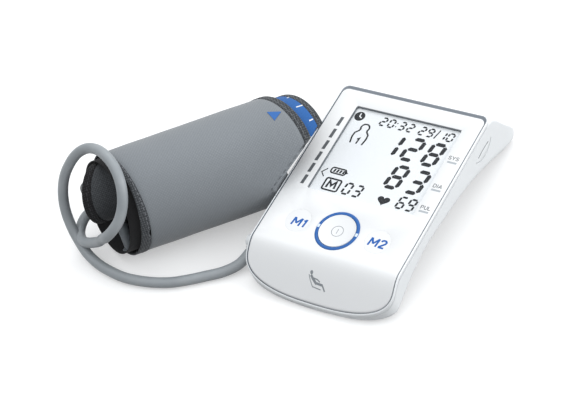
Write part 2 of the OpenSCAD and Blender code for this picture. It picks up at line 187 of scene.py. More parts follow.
def fabric(name, base, dark, light, per_m=1400, rough=0.85, sheen=0.25, depth=0.00012, strength=0.5, cloud=0.12, fleck=0.25):
    """woven cloth: two crossed thread waves on the piece's real-size UVs, soft clouding and flecks"""
    s = Nodes(name, base, rough, sheen=sheen, spec=0.25)
    mp = s.coords("UV", 1.0)
    w1 = s.add("ShaderNodeTexWave", wave_type="BANDS", bands_direction="X")
    w2 = s.add("ShaderNodeTexWave", wave_type="BANDS", bands_direction="Y")
    for w in (w1, w2):
        w.inputs["Scale"].default_value = per_m * 0.314
        w.inputs["Distortion"].default_value = 0.6
        w.inputs["Detail"].default_value = 1.0
        s.link(mp, "Vector", w, "Vector")
    mix = s.add("ShaderNodeMath", operation="MULTIPLY")
    s.link(w1, "Fac", mix, 0)
    s.link(w2, "Fac", mix, 1)
    grain = s.add("ShaderNodeTexNoise")
    grain.inputs["Scale"].default_value = per_m * 0.8
    grain.inputs["Detail"].default_value = 3
    s.link(mp, "Vector", grain, "Vector")
    clouds = s.add("ShaderNodeTexNoise")
    clouds.inputs["Scale"].default_value = 22
    clouds.inputs["Detail"].default_value = 3
    s.link(mp, "Vector", clouds, "Vector")
    a = s.add("ShaderNodeMath", operation="MULTIPLY_ADD")
    a.inputs[1].default_value = fleck
    s.link(grain, "Fac", a, 0)
    b = s.add("ShaderNodeMath", operation="MULTIPLY_ADD")
    b.inputs[1].default_value = cloud
    s.link(clouds, "Fac", b, 0)
    s.link(b, "Value", a, 2)
    c = s.add("ShaderNodeMath", operation="MULTIPLY_ADD")
    c.inputs[1].default_value = 0.35
    s.link(mix, "Value", c, 0)
    b.inputs[2].default_value = 0.5 - 0.5 * (fleck + cloud) - 0.09
    s.link(a, "Value", c, 2)
    s.ramp(c, "Value", [(0.25, dark), (0.5, base), (0.75, light)])
    h = s.add("ShaderNodeMath", operation="ADD")
    s.link(mix, "Value", h, 0)
    s.link(grain, "Fac", h, 1)
    s.bump(h, "Value", strength, depth)
    return s.mat


def metal(name, base, rough):
    s = Nodes(name, base, rough, metallic=1.0)
    n = s.noise(300, 2, stretch=(1, 12, 1))
    s.vary_rough(n, "Fac", rough * 0.7, rough * 1.4)
    s.bump(n, "Fac", 0.15, 0.00003)
    return s.mat


WHITE = (0.80, 0.825, 0.845)
M = {
    "white_case": plastic("white_case", (0.79, 0.815, 0.835), 0.38, 0.12, 2200),
    "white_panel": plastic("white_panel", (0.765, 0.777, 0.79), 0.36, 0.04, 900, vary=0.01, spec=0.3),
    # dark grey painted shade for the groove round the faceplate
    "trim_edge": plastic("trim_edge", (0.215, 0.240, 0.275), 0.42, 0.2, 1600, vary=0.08),
    "lcd": plastic("lcd", (0.79, 0.815, 0.84), 0.5, 0.02, 1500, vary=0.02, spec=0.2),
    "diffuser": plastic("diffuser", (0.85, 0.87, 0.88), 0.6, 0.1),
    "frame_plastic": plastic("frame_plastic", (0.78, 0.80, 0.81), 0.5, 0.2),
    "elastomer": plastic("elastomer", (0.03, 0.03, 0.035), 0.7, 0.2),
    "ring_blue": plastic("ring_blue", (0.022, 0.112, 0.365), 0.36, 0.04, spec=0.25, vary=0.04),
    # pale blue for the painted highlights on the ring
    "ring_pale": plastic("ring_pale", (0.62, 0.72, 0.84), 0.25, 0.04, coat=0.3),
    "cap_white": plastic("cap_white", (0.745, 0.757, 0.77), 0.36, 0.04, 900, vary=0.01, spec=0.3),
    "key_white": plastic("key_white", (0.735, 0.75, 0.765), 0.36, 0.04, 900, vary=0.01, spec=0.3),
    "component_black": plastic("component_black", (0.02, 0.02, 0.024), 0.45, 0.3),
    "board_green": plastic("board_green", (0.02, 0.13, 0.06), 0.35, 0.3, 900, vary=0.2),
    "pump_plastic": plastic("pump_plastic", (0.22, 0.24, 0.26), 0.5, 0.3),
    "steel": metal("steel", (0.58, 0.59, 0.61), 0.32),
    "ring_steel": metal("ring_steel", (0.16, 0.165, 0.17), 0.35),
    "rotor_copper": metal("rotor_copper", (0.72, 0.40, 0.20), 0.35),
    "black_rubber": plastic("black_rubber", (0.025, 0.025, 0.027), 0.75, 0.4, 1500, vary=0.15),
    "tube_silicone": plastic("tube_silicone", (0.72, 0.72, 0.69), 0.4, 0.1),
    "grey_plastic": plastic("grey_plastic", (0.17, 0.19, 0.21), 0.42, 0.3, 1800, vary=0.08),
    "battery_wrap": plastic("battery_wrap", (0.02, 0.09, 0.33), 0.3, 0.1),
    "cover_plastic": plastic("cover_plastic", (0.74, 0.765, 0.785), 0.45, 0.15, 1800),
    "sleeve_rubber": plastic("sleeve_rubber", (0.05, 0.052, 0.056), 0.75, 0.5, 1200, vary=0.3),
    "bladder_film": plastic("bladder_film", (0.28, 0.29, 0.31), 0.6, 0.2),
    "print_grey": plastic("print_grey", (0.115, 0.125, 0.135), 0.5, 0.02, spec=0.1),
    "print_pale": plastic("print_pale", (0.40, 0.43, 0.46), 0.5, 0.02, spec=0.1),
    "sign_grey": plastic("sign_grey", (0.25, 0.27, 0.29), 0.5, 0.02, spec=0.1),
    "print_blue": plastic("print_blue", (0.022, 0.115, 0.40), 0.5, 0.02, spec=0.1),
    "lcd_black": plastic("lcd_black", (0.0045, 0.0045, 0.0055), 0.5, 0.02, vary=0.1, spec=0.08),
    # dark grey painted shade for the top and left walls of the window recess
    "recess_wall_shade": plastic("recess_wall_shade", (0.13, 0.145, 0.16), 0.5, 0.2),
    "thread": plastic("thread", (0.17, 0.18, 0.195), 0.8, 0.4, 3000, vary=0.2),
    "tick_white": plastic("tick_white", (0.80, 0.82, 0.84), 0.7, 0.3, 2500),
    "band_print": plastic("band_print", (0.030, 0.135, 0.42), 0.75, 0.5, 2600, vary=0.08),
    "edge_pale": plastic("edge_pale", (0.16, 0.17, 0.18), 0.7, 0.3, 2600, vary=0.2),
}
M["cuff_fabric"] = fabric("cuff_fabric", (0.213, 0.231, 0.25), (0.165, 0.18, 0.197), (0.28, 0.302, 0.325), per_m=1100, sheen=0.35, cloud=0.10, fleck=0.22)
M["inner_fabric"] = fabric("inner_fabric", (0.030, 0.033, 0.038), (0.018, 0.02, 0.024), (0.06, 0.065, 0.07), per_m=1200, sheen=0.1)
M["lining_fabric"] = fabric("lining_fabric", (0.0125, 0.0125, 0.0135), (0.008, 0.008, 0.009), (0.03, 0.03, 0.032), per_m=1300, sheen=0.06, fleck=0.3)
M["core_fabric"] = fabric("core_fabric", (0.045, 0.049, 0.054), (0.02, 0.022, 0.025), (0.085, 0.09, 0.096), per_m=1000, sheen=0.12, cloud=0.35, fleck=0.5)
M["binding_tape"] = fabric("binding_tape", (0.060, 0.065, 0.071), (0.022, 0.024, 0.028), (0.125, 0.135, 0.145), per_m=700, sheen=0.15, depth=0.0003, strength=0.9, cloud=0.2, fleck=0.6)
M["core_tape"] = fabric("core_tape", (0.0095, 0.0095, 0.0105), (0.009, 0.009, 0.010), (0.035, 0.035, 0.038), per_m=700, sheen=0.08, depth=0.0003, strength=0.9, cloud=0.2, fleck=0.4)
M["blue_band"] = fabric("blue_band", (0.033, 0.130, 0.385), (0.024, 0.10, 0.31), (0.048, 0.165, 0.45), per_m=1300, sheen=0.12, cloud=0.06, fleck=0.12)
M["hook_tape"] = fabric("hook_tape", (0.02, 0.02, 0.023), (0.01, 0.01, 0.012), (0.05, 0.05, 0.055), per_m=600, depth=0.0005, strength=1.0)


def hose_material():
    s = Nodes("hose_rubber", (0.255, 0.275, 0.293), 0.34, spec=0.5)
    n = s.noise(60, 4)
    s.ramp(n, "Fac", [(0.3, (0.27, 0.295, 0.315)), (0.7, (0.34, 0.365, 0.385))])
    s.vary_rough(s.noise(220, 3), "Fac", 0.36, 0.52)
    s.bump(s.noise(1500, 2), "Fac", 0.15, 0.00008)
    return s.mat


M["hose_rubber"] = hose_material()


def window_material():
    s = Nodes("window", (0.45, 0.50, 0.54), 0.06, spec=0.35, alpha=0.035)
    n = s.noise(90, 2)
    s.vary_rough(n, "Fac", 0.04, 0.09)
    s.mat.blend_method = "BLEND" if hasattr(s.mat, "blend_method") else "BLEND"
    return s.mat


M["window"] = window_material()

slot_of = {x["node"]: x["material_slot"] for x in frame["record"]["subparts"]}
for name, ob in frame["nodes"].items():
    mat = M.get(slot_of.get(name, ""), M["white_case"])
    if len(ob.material_slots) == 0:
        ob.data.materials.append(mat)
    for ms in ob.material_slots:
        ms.material = mat


# ---------------------------------------------------------------- mesh helpers
def finish_mesh(name, me, mat, body, rep=(), angle=35.0, clean=True):
    if clean:
        bm = bmesh.new()
        bm.from_mesh(me)
        bmesh.ops.recalc_face_normals(bm, faces=bm.faces)
        bm.to_mesh(me)
        bm.free()
    me.materials.append(M[mat] if isinstance(mat, str) else mat)
    for p in me.polygons:
        p.use_smooth = True
    me.set_sharp_from_angle(angle=math.radians(angle))
    ob = bpy.data.objects.new(name, me)
    scene.collection.objects.link(ob)
    if body:
        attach(ob, body)
    if rep:
        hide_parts(*rep)
    return ob


def mesh_of(verts, faces, name="m"):
    me = bpy.data.meshes.new(name)
    me.from_pydata([tuple(v) for v in verts], [], faces)
    me.validate()
    me.update()
    return me


def loft(rings, close_rings=False, cap=(True, True)):
    """rings of equal length -> verts, faces; close_rings joins the last ring to the first"""
    n = len(rings[0])
    verts = [p for r in rings for p in r]
    faces = []
    k = len(rings)
    for i in range(k if close_rings else k - 1):
        a, b = i * n, ((i + 1) % k) * n
        for j in range(n):
            q = (j + 1) % n
            faces.append((a + j, a + q, b + q, b + j))
    if not close_rings:
        if cap[0]:
            faces.append(tuple(range(n - 1, -1, -1)))
        if cap[1]:
            faces.append(tuple((k - 1) * n + j for j in range(n)))
    return verts, faces


def frame_axes(axis):
    a = Vector(axis).normalized()
    h = Vector((0, 0, 1)) if abs(a.z) < 0.9 else Vector((1, 0, 0))
    x = a.cross(h).normalized()
    y = a.cross(x).normalized()
    return a, x, y


def lathe(name, origin, axis, profile, mat, body, segs=48, rep=(), closed=False, angle=35):
    """profile of (radius, height) in mm about axis from origin (row frame, m)"""
    a, x, y = frame_axes(axis)
    rings = []
    for r, h in profile:
        rings.append([origin + a * (h * 0.001) + (x * math.cos(2 * pi * k / segs) + y * math.sin(2 * pi * k / segs)) * (max(r, 0.0005) * 0.001) for k in range(segs)])
    v, f = loft(rings, close_rings=closed)
    return finish_mesh(name, mesh_of(v, f, name), mat, body, rep, angle)


def round_profile(pts, r=0.4, steps=4):
    """rounds the inner corners of an open (r, h) profile"""
    out = [pts[0]]
    for i in range(1, len(pts) - 1):
        p, a, b = Vector(pts[i]), Vector(pts[i - 1]), Vector(pts[i + 1])
        da, db = (a - p), (b - p)
        k = min(r, da.length * 0.45, db.length * 0.45)
        p0, p1 = p + da.normalized() * k, p + db.normalized() * k
        for s in range(steps + 1):
            t = s / steps
            q = p0 * (1 - t) ** 2 + p * 2 * t * (1 - t) + p1 * t * t
            out.append((q.x, q.y))
    out.append(pts[-1])
    return out


def spline(P, m):
    P = [Vector(p) for p in P]
    out = []
    for i in range(len(P) - 1):
        a, b, c, d = P[max(i - 1, 0)], P[i], P[i + 1], P[min(i + 2, len(P) - 1)]
        for k in range(m):
            t = k / m
            out.append(0.5 * (2 * b + (c - a) * t + (2 * a - 5 * b + 4 * c - d) * t * t + (3 * b - a - 3 * c + d) * t ** 3))
    out.append(P[-1])
    return out


def tube(name, path, radius, mat, body, segs=20, d0=None, d1=None, rep=(), rfun=None):
    """swept round tube along path (row frame, m); radius in mm"""
    n = len(path)
    tan = []
    for i in range(n):
        tan.append((path[min(i + 1, n - 1)] - path[max(i - 1, 0)]).normalized())
    if d0 is not None:
        tan[0] = Vector(d0).normalized()
    if d1 is not None:
        tan[-1] = Vector(d1).normalized()
    nrm = Vector((0, 0, 1)) if abs(tan[0].z) < 0.8 else Vector((1, 0, 0))
    rings = []
    for i in range(n):
        nrm = (nrm - tan[i] * nrm.dot(tan[i])).normalized()
        b = tan[i].cross(nrm)
        r = (rfun(i / (n - 1)) if rfun else radius) * 0.001
        rings.append([path[i] + (nrm * math.cos(2 * pi * j / segs) + b * math.sin(2 * pi * j / segs)) * r for j in range(segs)])
    v, f = loft(rings)
    return finish_mesh(name, mesh_of(v, f, name), mat, body, rep, 50)


# ---------------------------------------------------------------- the hose, first
YAW = math.radians(45.7)
CY, SY = math.cos(YAW), math.sin(YAW)
AX, AY, RR = -156.0, -47.1, 32.2
FIT_S, FIT_A, FIT_R = 24.5, math.radians(-119.0), 16.0
KW, KZ = 6.76, 7.37              # the core turn's axis, off the roll's own


def RF(s, w, z):
    """roll frame (along the roll, across, up from its axis), mm -> row frame, m"""
    return T(AX + s * CY - w * SY, AY + s * SY + w * CY, RR + z)


fit_end = (AX + FIT_S * CY - (FIT_R * math.cos(FIT_A) + 5.45) * SY, AY + FIT_S * SY + (FIT_R * math.cos(FIT_A) + 5.45) * CY, RR + FIT_R * math.sin(FIT_A))
route = [(-53.6, -17.2, 10), (-58.2, -25.4, 5.2), (-65.4, -33, 3.5), (-74, -39.6, 3.4), (-82.4, -45.6, 3.4),
         (-91.5, -51, 3.4), (-101.5, -54.6, 3.4), (-112, -56.8, 3.4), (-122.4, -57.6, 3.4), (-133, -56.6, 3.6),
         (-143.2, -54.6, 4.2), (-153, -51.4, 6.4), (-161.5, -47, 11.2), (-168, -42.8, 18.4), (-171.6, -39, 27.6),
         (-172.2, -35.2, 37.6), (-170.4, -31.2, 47.2), (-166, -27.2, 56), (-159.5, -23.8, 63.8), (-150.6, -22.4, 69.6),
         (-140.6, -24, 72.8), (-130.8, -27.8, 73.6), (-121.6, -33, 71.6), (-115.5, -38.8, 65.4), (-113.3, -44.7, 57),
         (-114.8, -50.4, 48.5), (-120, -54.5, 41), (-127.2, -55, 33.6), (-134, -51.5, 27), (-141, -50.3, 20.4),
         (-155, -48.6, 13.7), (-163.4, -42.3, 12.6), (-166, -33.2, 14.8), (-162.6, -25.5, 17), (-154.8, -21.3, 17.9),
         (-146.2, -22.8, 18.2), fit_end]
hose_line = [T(*p) for p in spline(route, 5)]
hose = tube("air_hose_tube", hose_line, 3.2, "hose_rubber", "cuff", segs=24, d0=(0, -0.70711, -0.70711), d1=(SY, -CY, 0), rep=["air_hose"])

PLUG = (-53.6, -13.3, 13.9)
plug = lathe("air_plug_body", T(-57.0, PLUG[1], PLUG[2]), (1, 0, 0),
             round_profile([(0, 0.2), (3.6, 0.2), (3.8, 1.6), (3.8, 4.6), (3.3, 5.2), (3.3, 6.8), (2.4, 6.8), (2.4, 10.9), (1.75, 10.9), (1.75, 12.1), (2.4, 12.1), (2.4, 14.3), (1.9, 14.8), (0, 14.8)], 0.35),
             "white_case", "cuff", rep=["air_plug"])
elbow_axis = Vector((0, -0.70711, -0.70711))
ribs = [(0, -1.0), (3.3, -1.0), (3.3, 0.6)]
for k in range(3):
    h = 1.0 + 1.35 * k
    ribs += [(3.3, h), (3.5, h + 0.12), (3.5, h + 0.75), (3.3, h + 0.87)]
ribs += [(3.3, 5.0), (3.0, 5.45), (0, 5.45)]
elbow = lathe("air_plug_elbow", T(*PLUG), elbow_axis, ribs, "white_case", "cuff")

# ---------------------------------------------------------------- unit: shapes in the panel frame
W2, REAR, NV, NTIP, NP = 48.5, 98.7, -24.8, -40.2, 2.62


def top(v):
    return -0.9 * (math.sqrt(max(0.0, -16.0 - v) ** 2 + 36.0) - 6.0)


def se(x):
    return math.copysign(abs(x) ** (2.0 / NP), x)


def outline(o, b, rc=4.0):
    p = []
    for a in range(0, 91, 9):
        p.append((W2 + o - rc + rc * cosd(a), REAR + b - rc + rc * sind(a)))
    for a in range(90, 181, 9):
        p.append((-W2 - o + rc + rc * cosd(a), REAR + b - rc + rc * sind(a)))
    for y in (80, 60, 40, 20, 0, -12, -20):
        p.append((-W2 - o, y))
    for k in range(0, 73):
        a = 180 + 2.5 * k
        p.append(((W2 + o) * se(cosd(a)), NV + (NV - NTIP + o) * se(sind(a))))
    for y in (-20, -12, 0, 20, 40, 60, 80):
        p.append((W2 + o, y))
    return p


ROWS = [-9 - 0.75 * k for k in range(46)]


def bend_solid(bm, rows=ROWS):
    """cuts a flat-space solid at the rows and drops it onto the panel's curve"""
    ys = [v.co.y for v in bm.verts]
    lo, hi = min(ys), max(ys)
    for y in rows:
        if lo < y < hi:
            bmesh.ops.bisect_plane(bm, geom=bm.verts[:] + bm.edges[:] + bm.faces[:], plane_co=(0, y, 0), plane_no=(0, 1, 0), dist=1e-5)
    for v in bm.verts:
        u, y, n = v.co
        v.co = PN(u, y, n + top(y))
    bmesh.ops.recalc_face_normals(bm, faces=bm.faces)


def ring_solid(name, section, mat, body, rep=(), rc=4.0, angle=40):
    """closed band along the outline; section is a closed list of (o, b, d)"""
    bm = bmesh.new()
    rings = [[bm.verts.new((x, y, -d)) for x, y in outline(o, b, rc + 0.5 * o)] for o, b, d in section]
    n, k = len(rings[0]), len(rings)
    for i in range(k):
        a, b = rings[i], rings[(i + 1) % k]
        for j in range(n):
            q = (j + 1) % n
            bm.faces.new((a[j], a[q], b[q], b[j]))
    bend_solid(bm)
    me = bpy.data.meshes.new(name)
    bm.to_mesh(me)
    bm.free()
    return finish_mesh(name, me, mat, body, rep, angle)


def plate(name, rings_out, holes, mat, body, rep=(), angle=40, bend=True, smooth_rows=ROWS):
    """flat-space plate: rings_out is [(points, d)...] top to bottom; holes the same"""
    bm = bmesh.new()
    edges_top, edges_bot = [], []
    for rings in [rings_out] + holes:
        vr = [[bm.verts.new((x, y, -d)) for x, y in pts] for pts, d in rings]
        n = len(vr[0])
        for i in range(len(vr) - 1):
            for j in range(n):
                q = (j + 1) % n
                bm.faces.new((vr[i][j], vr[i][q], vr[i + 1][q], vr[i + 1][j]))
        for j in range(n):
            q = (j + 1) % n
            edges_top.append(bm.edges.get((vr[0][j], vr[0][q])))
            edges_bot.append(bm.edges.get((vr[-1][j], vr[-1][q])))
    bmesh.ops.triangle_fill(bm, use_beauty=True, use_dissolve=False, edges=edges_top, normal=(0, 0, 1))
    bmesh.ops.triangle_fill(bm, use_beauty=True, use_dissolve=False, edges=edges_bot, normal=(0, 0, -1))
    if bend:
        bend_solid(bm, smooth_rows)
    else:
        for v in bm.verts:
            v.co = PN(*v.co)
        bmesh.ops.recalc_face_normals(bm, faces=bm.faces)
    me = bpy.data.meshes.new(name)
    bm.to_mesh(me)
    bm.free()
    return finish_mesh(name, me, mat, body, rep, angle)


def circle(cx, cy, r, n=96):
    return [(cx + r * math.cos(2 * pi * k / n), cy + r * math.sin(2 * pi * k / n)) for k in range(n)]


def rrect(x0, x1, y0, y1, r, n=6):
    p = []
    for cx, cy, a0 in ((x1 - r, y1 - r, 0), (x0 + r, y1 - r, 90), (x0 + r, y0 + r, 180), (x1 - r, y0 + r, 270)):
        for k in range(n + 1):
            a = a0 + 90.0 * k / n
            p.append((cx + r * cosd(a), cy + r * sind(a)))
    return p


START_R, RING_R, KEY_R, KEY_X = 11.3, 13.5, 8.0, 26.6
DISH = 0.8
LX0, LX1, LY0, LY1 = 2.25 - 35.75, 2.25 + 35.75, 55.2 - 32.3, 55.2 + 32.3

# white rim of the upper case
ring_solid("case_rim", [
    (0.45, 2.02, 1.6), (0.45, 2.02, 0.25), (0.52, 2.06, 0.08), (0.66, 2.12, 0.0), (0.86, 2.20, 0.0), (1.06, 2.26, 0.06),
    (1.22, 2.30, 0.22), (1.30, 2.32, 0.50), (1.30, 2.32, 2.05), (1.22, 2.28, 2.2), (0.4, 1.6, 2.25), (-1.0, 0.6, 2.25), (-1.0, 0.6, 1.62)],
    "white_case", "monitor", ["top_shell"])
# strip that lines the groove round the faceplate, dark grey as painted shade for the groove
ring_solid("groove_painted_shade_strip", [
    (0.44, 2.0, 0.06), (0.44, 2.0, 1.5), (-0.05, -0.05, 1.5), (-0.05, -0.05, 1.0), (0.20, 0.55, 0.95), (0.30, 1.0, 0.55), (0.34, 1.5, 0.12), (0.38, 1.85, 0.03)],
    "trim_edge", "monitor", ["panel_trim"])

panel_rings = [(outline(-0.75, -0.75, 3.6), 0.0), (outline(-0.48, -0.48, 3.8), 0.05), (outline(-0.27, -0.27, 3.9), 0.2),
               (outline(-0.17, -0.17, 4.0), 0.45), (outline(-0.15, -0.15, 4.0), 1.5)]


def hole_rings(f, top_r=0.18):
    return [(f(top_r), 0.0), (f(top_r * 0.3), top_r * 0.3), (f(0), top_r), (f(0), 1.5)]


plate("faceplate", panel_rings, [
    hole_rings(lambda e: rrect(LX0 - 0.1 - e, LX1 + 0.1 + e, LY0 - 0.1 - e, LY1 + 0.1 + e, 1.2 + e)),
    hole_rings(lambda e: circle(0, 0, RING_R + 0.02 + e)),
    hole_rings(lambda e: circle(-KEY_X, 0, KEY_R + 0.045 + e), 0.03),
    hole_rings(lambda e: circle(KEY_X, 0, KEY_R + 0.045 + e), 0.03)],
    "white_panel", "monitor", ["front_panel"])

# window: thin clear pane a little under the surface, and a band on the wall round it, dark grey on the top and left
# walls as painted shade in the recess
plate("window_pane", [(rrect(LX0 + 0.35, LX1 - 0.35, LY0 + 0.35, LY1 - 0.35, 0.9), 0.95), (rrect(LX0 + 0.3, LX1 - 0.3, LY0 + 0.3, LY1 - 0.3, 0.95), 1.0),
                      (rrect(LX0 + 0.3, LX1 - 0.3, LY0 + 0.3, LY1 - 0.3, 0.95), 1.5)], [], "window", "monitor", ["display_window"], bend=False)


def band(name, f_out, f_in, d0, d1, mat, body, bend=False):
    bm = bmesh.new()
    secs = [(f_out, d0), (f_out, d1), (f_in, d1), (f_in, d0)]
    rings = [[bm.verts.new((x, y, -d)) for x, y in pts] for pts, d in secs]
    n = len(rings[0])
    for i in range(4):
        for j in range(n):
            q = (j + 1) % n
            bm.faces.new((rings[i][j], rings[i][q], rings[(i + 1) % 4][q], rings[(i + 1) % 4][j]))
    for v in bm.verts:
        v.co = PN(*v.co)
    bmesh.ops.recalc_face_normals(bm, faces=bm.faces)
    me = bpy.data.meshes.new(name)
    bm.to_mesh(me)
    bm.free()
    return finish_mesh(name, me, mat, body)


recess_wall_ob = band("window_recess_wall_painted_shade", rrect(LX0 - 0.08, LX1 + 0.08, LY0 - 0.08, LY1 + 0.08, 1.2), rrect(LX0 + 0.28, LX1 - 0.28, LY0 + 0.28, LY1 - 0.28, 0.95), 0.22, 1.62,
     "recess_wall_shade", "monitor")

# right and bottom walls get the pale frame colour, so the painted shade stays on the top and left walls
recess_wall_ob.data.materials.append(M["frame_plastic"])
for poly in recess_wall_ob.data.polygons:
    c = poly.center
    if c.x > PN(LX1 - 0.6, 0, 0).x or c.y < PN(0, LY0 + 0.6, -0.9).y:
        poly.material_index = 1

# ---------------------------------------------------------------- keys
cap = []
for k in range(0, 11):                       # dished top, as a shallow sphere cut
    r = (START_R - 0.35) * k / 10
    cap.append((r, 0.44 - DISH * (1 - (r / START_R) ** 2)))
cap += [(START_R - 0.2, 0.45), (START_R - 0.06, 0.36), (START_R, 0.15), (START_R, -1.75), (12.9, -1.75), (12.9, -2.5), (2.0, -2.5), (2.0, -3.4), (0, -3.4)]
lathe("start_key_cap", PN(0, 0, 0), PN(0, 0, 1) - PN(0, 0, 0), cap, "key_white", "start_key", 128, ["start_button"], angle=30)
ring = [(START_R + 0.2, -1.6), (START_R + 0.2, 0.02), (START_R + 0.35, 0.22), (12.1, 0.34), (12.6, 0.38), (13.1, 0.33), (13.38, 0.2), (13.5, 0.02), (13.5, -1.6)]
lathe("ring_light", PN(0, 0, 0), PN(0, 0, 1) - PN(0, 0, 0), ring, "ring_blue", "monitor", 160, ["light_ring"], closed=True, angle=30)


def arc_band(name, r0, r1, a0, a1, n0, n1, mat, body, cx=0.0, cy=0.0, steps=24):
    rings = []
    for k in range(steps + 1):
        a = a0 + (a1 - a0) * k / steps
        sec = [(r0, n0), (r1, n0), (r1, n1 - 0.12), ((r0 + r1) / 2 + 0.3, n1), ((r0 + r1) / 2 - 0.3, n1), (r0, n1 - 0.12)]
        rings.append([PN(cx + r * cosd(a), cy + r * sind(a), n) for r, n in sec])
    v, f = loft(rings)
    return finish_mesh(name, mesh_of(v, f, name), mat, body, angle=40)


# two short pale arcs on the blue ring: painted highlights where it catches the light
arc_band("ring_painted_highlight_left", 11.8, 13.3, 174.5, 184.5, 0.1, 0.47, "ring_pale", "monitor")
arc_band("ring_painted_highlight_right", 11.8, 13.3, -3, 7, 0.1, 0.47, "ring_pale", "monitor")

for side, body, node in ((-1, "memory_key_left", "memory_key_1"), (1, "memory_key_right", "memory_key_2")):
    key = [(0, 0.0), (KEY_R - 0.04, 0.0), (KEY_R, -0.03), (KEY_R, -0.1), (KEY_R, -1.75), (KEY_R + 0.7, -1.75), (KEY_R + 0.7, -2.5), (2.0, -2.5), (2.0, -3.4), (0, -3.4)]
    lathe("memory_cap_" + ("left" if side < 0 else "right"), PN(side * KEY_X, 0, 0), PN(0, 0, 1) - PN(0, 0, 0), key, "cap_white", body, 96, [node], angle=30)


# ---------------------------------------------------------------- printed shapes
def prisms(name, loops, n0, n1, mat, body, bend=False):
    """thin printed shapes: closed prisms from 2D loops in the panel plane"""
    bm = bmesh.new()
    for loop in loops:
        a = [bm.verts.new((x, y, n0)) for x, y in loop]
        b = [bm.verts.new((x, y, n1)) for x, y in loop]
        n = len(loop)
        for j in range(n):
            q = (j + 1) % n
            bm.faces.new((a[j], a[q], b[q], b[j]))
        for vs in (a, b):
            e = [bm.edges.get((vs[j], vs[(j + 1) % n])) for j in range(n)]
            bmesh.ops.triangle_fill(bm, use_beauty=True, use_dissolve=False, edges=e)
    if bend:
        bend_solid(bm, [y for y in ROWS if y < -15])
    else:
        for v in bm.verts:
            v.co = PN(*v.co)
        bmesh.ops.recalc_face_normals(bm, faces=bm.faces)
    me = bpy.data.meshes.new(name)
    bm.to_mesh(me)
    bm.free()
    return finish_mesh(name, me, mat, body)


def stroke(pts, w, closed=False):
    """polyline -> one closed loop of that width (two loops are not needed: closed ones get a seam)"""
    P = [Vector(p) for p in pts]
    if closed:
        P = P + [P[0]]
    n = len(P)
    left, right_ = [], []
    for i in range(n):
        if closed and i in (0, n - 1):
            d0, d1 = (P[0] - P[-2]).normalized(), (P[1] - P[0]).normalized()
        else:
            d0 = (P[i] - P[i - 1]).normalized() if i > 0 else (P[1] - P[0]).normalized()
            d1 = (P[i + 1] - P[i]).normalized() if i < n - 1 else d0
        nn = Vector((-(d0.y + d1.y), d0.x + d1.x))
        nn = nn.normalized() if nn.length > 1e-6 else Vector((-d1.y, d1.x))
        c = max(0.45, nn.dot(Vector((-d1.y, d1.x))))
        left.append(P[i] + nn * (w / 2 / c))
        right_.append(P[i] - nn * (w / 2 / c))
    return [tuple(p) for p in left] + [tuple(p) for p in reversed(right_)]


def seg(p, q, t, g=0.0):
    """one display segment with chamfered ends"""
    p, q = Vector(p), Vector(q)
    d = (q - p).normalized()
    nn = Vector((-d.y, d.x))
    h = t / 2
    p, q = p + d * g, q - d * g
    return [tuple(x) for x in (p + nn * (-h * 0.1), p + d * h * 0.9 + nn * h, q - d * h * 0.9 + nn * h, q + nn * (-h * 0.1), q - d * h * 0.7 - nn * h, p + d * h * 0.7 - nn * h)]


SEGS = {"0": "abcdef", "1": "bc", "2": "abged", "3": "abgcd", "6": "afgedc", "8": "abcdefg", "9": "abcdfg"}


def digit(ch, x0, y0, w, h, t, slant=0.125):
    i = t / 2
    pt = {"tl": (i, h - i), "tr": (w - i, h - i), "ml": (i, h / 2), "mr": (w - i, h / 2), "bl": (i, i), "br": (w - i, i)}
    ends = {"a": ("tl", "tr"), "b": ("tr", "mr"), "c": ("mr", "br"), "d": ("bl", "br"), "e": ("ml", "bl"), "f": ("tl", "ml"), "g": ("ml", "mr")}
    out = []
    for s in SEGS[ch]:
        a, b = (pt[k] for k in ends[s])
        q = seg(a, b, t, t * 0.22)
        out.append([(x0 + x + y * slant, y0 + y) for x, y in q])
    return out


lcd = []
for ch, x0 in (("1", -5.2), ("2", 8.4), ("8", 22.3)):
    lcd += digit(ch, x0, 58.2, 10.4, 18.2, 2.6)
for ch, x0 in (("8", 8.6), ("3", 22.5)):
    lcd += digit(ch, x0, 37.1, 10.4, 18.2, 2.6)
for ch, x0 in (("6", 23.0), ("9", 29.4)):
    lcd += digit(ch, x0, 25.5, 5.4, 9.4, 1.35)
for ch, x0 in (("0", -13.3), ("3", -6.4)):
    lcd += digit(ch, x0, 25.6, 5.5, 9.2, 1.35)
for ch, x0 in (("2", -15.2), ("0", -9.6), ("3", -2.4), ("2", 3.3), ("2", 11.3), ("9", 16.8), ("1", 24.8), ("0", 29.9)):
    lcd += digit(ch, x0, 78.3, 4.4 if ch != "0" or x0 < 0 else 4.6, 6.9, 1.15)
lcd += [circle(-3.75, 80.3, 0.42, 12), circle(-3.45, 82.9, 0.42, 12)]
lcd.append(stroke([(22.9, 78.4), (24.6, 85.1)], 0.8))
# person outline with a 1
head = [(-21.5 + 2.75 * cosd(a), 74.3 + 2.75 * sind(a)) for a in range(212, -33, -12)]
lcd.append(stroke([(-25.5, 61.8), (-26.4, 66.5), (-26.1, 69.6), (-24.2, 71.6), (-23.8, 72.8)] + head + [(-19.2, 72.8), (-18.9, 71.6), (-17.1, 69.6), (-16.8, 66.5), (-17.6, 61.8)], 1.05))
lcd.append(stroke([(-22.3, 65.3), (-21.0, 66.3), (-21.5, 61.9)], 1.05))
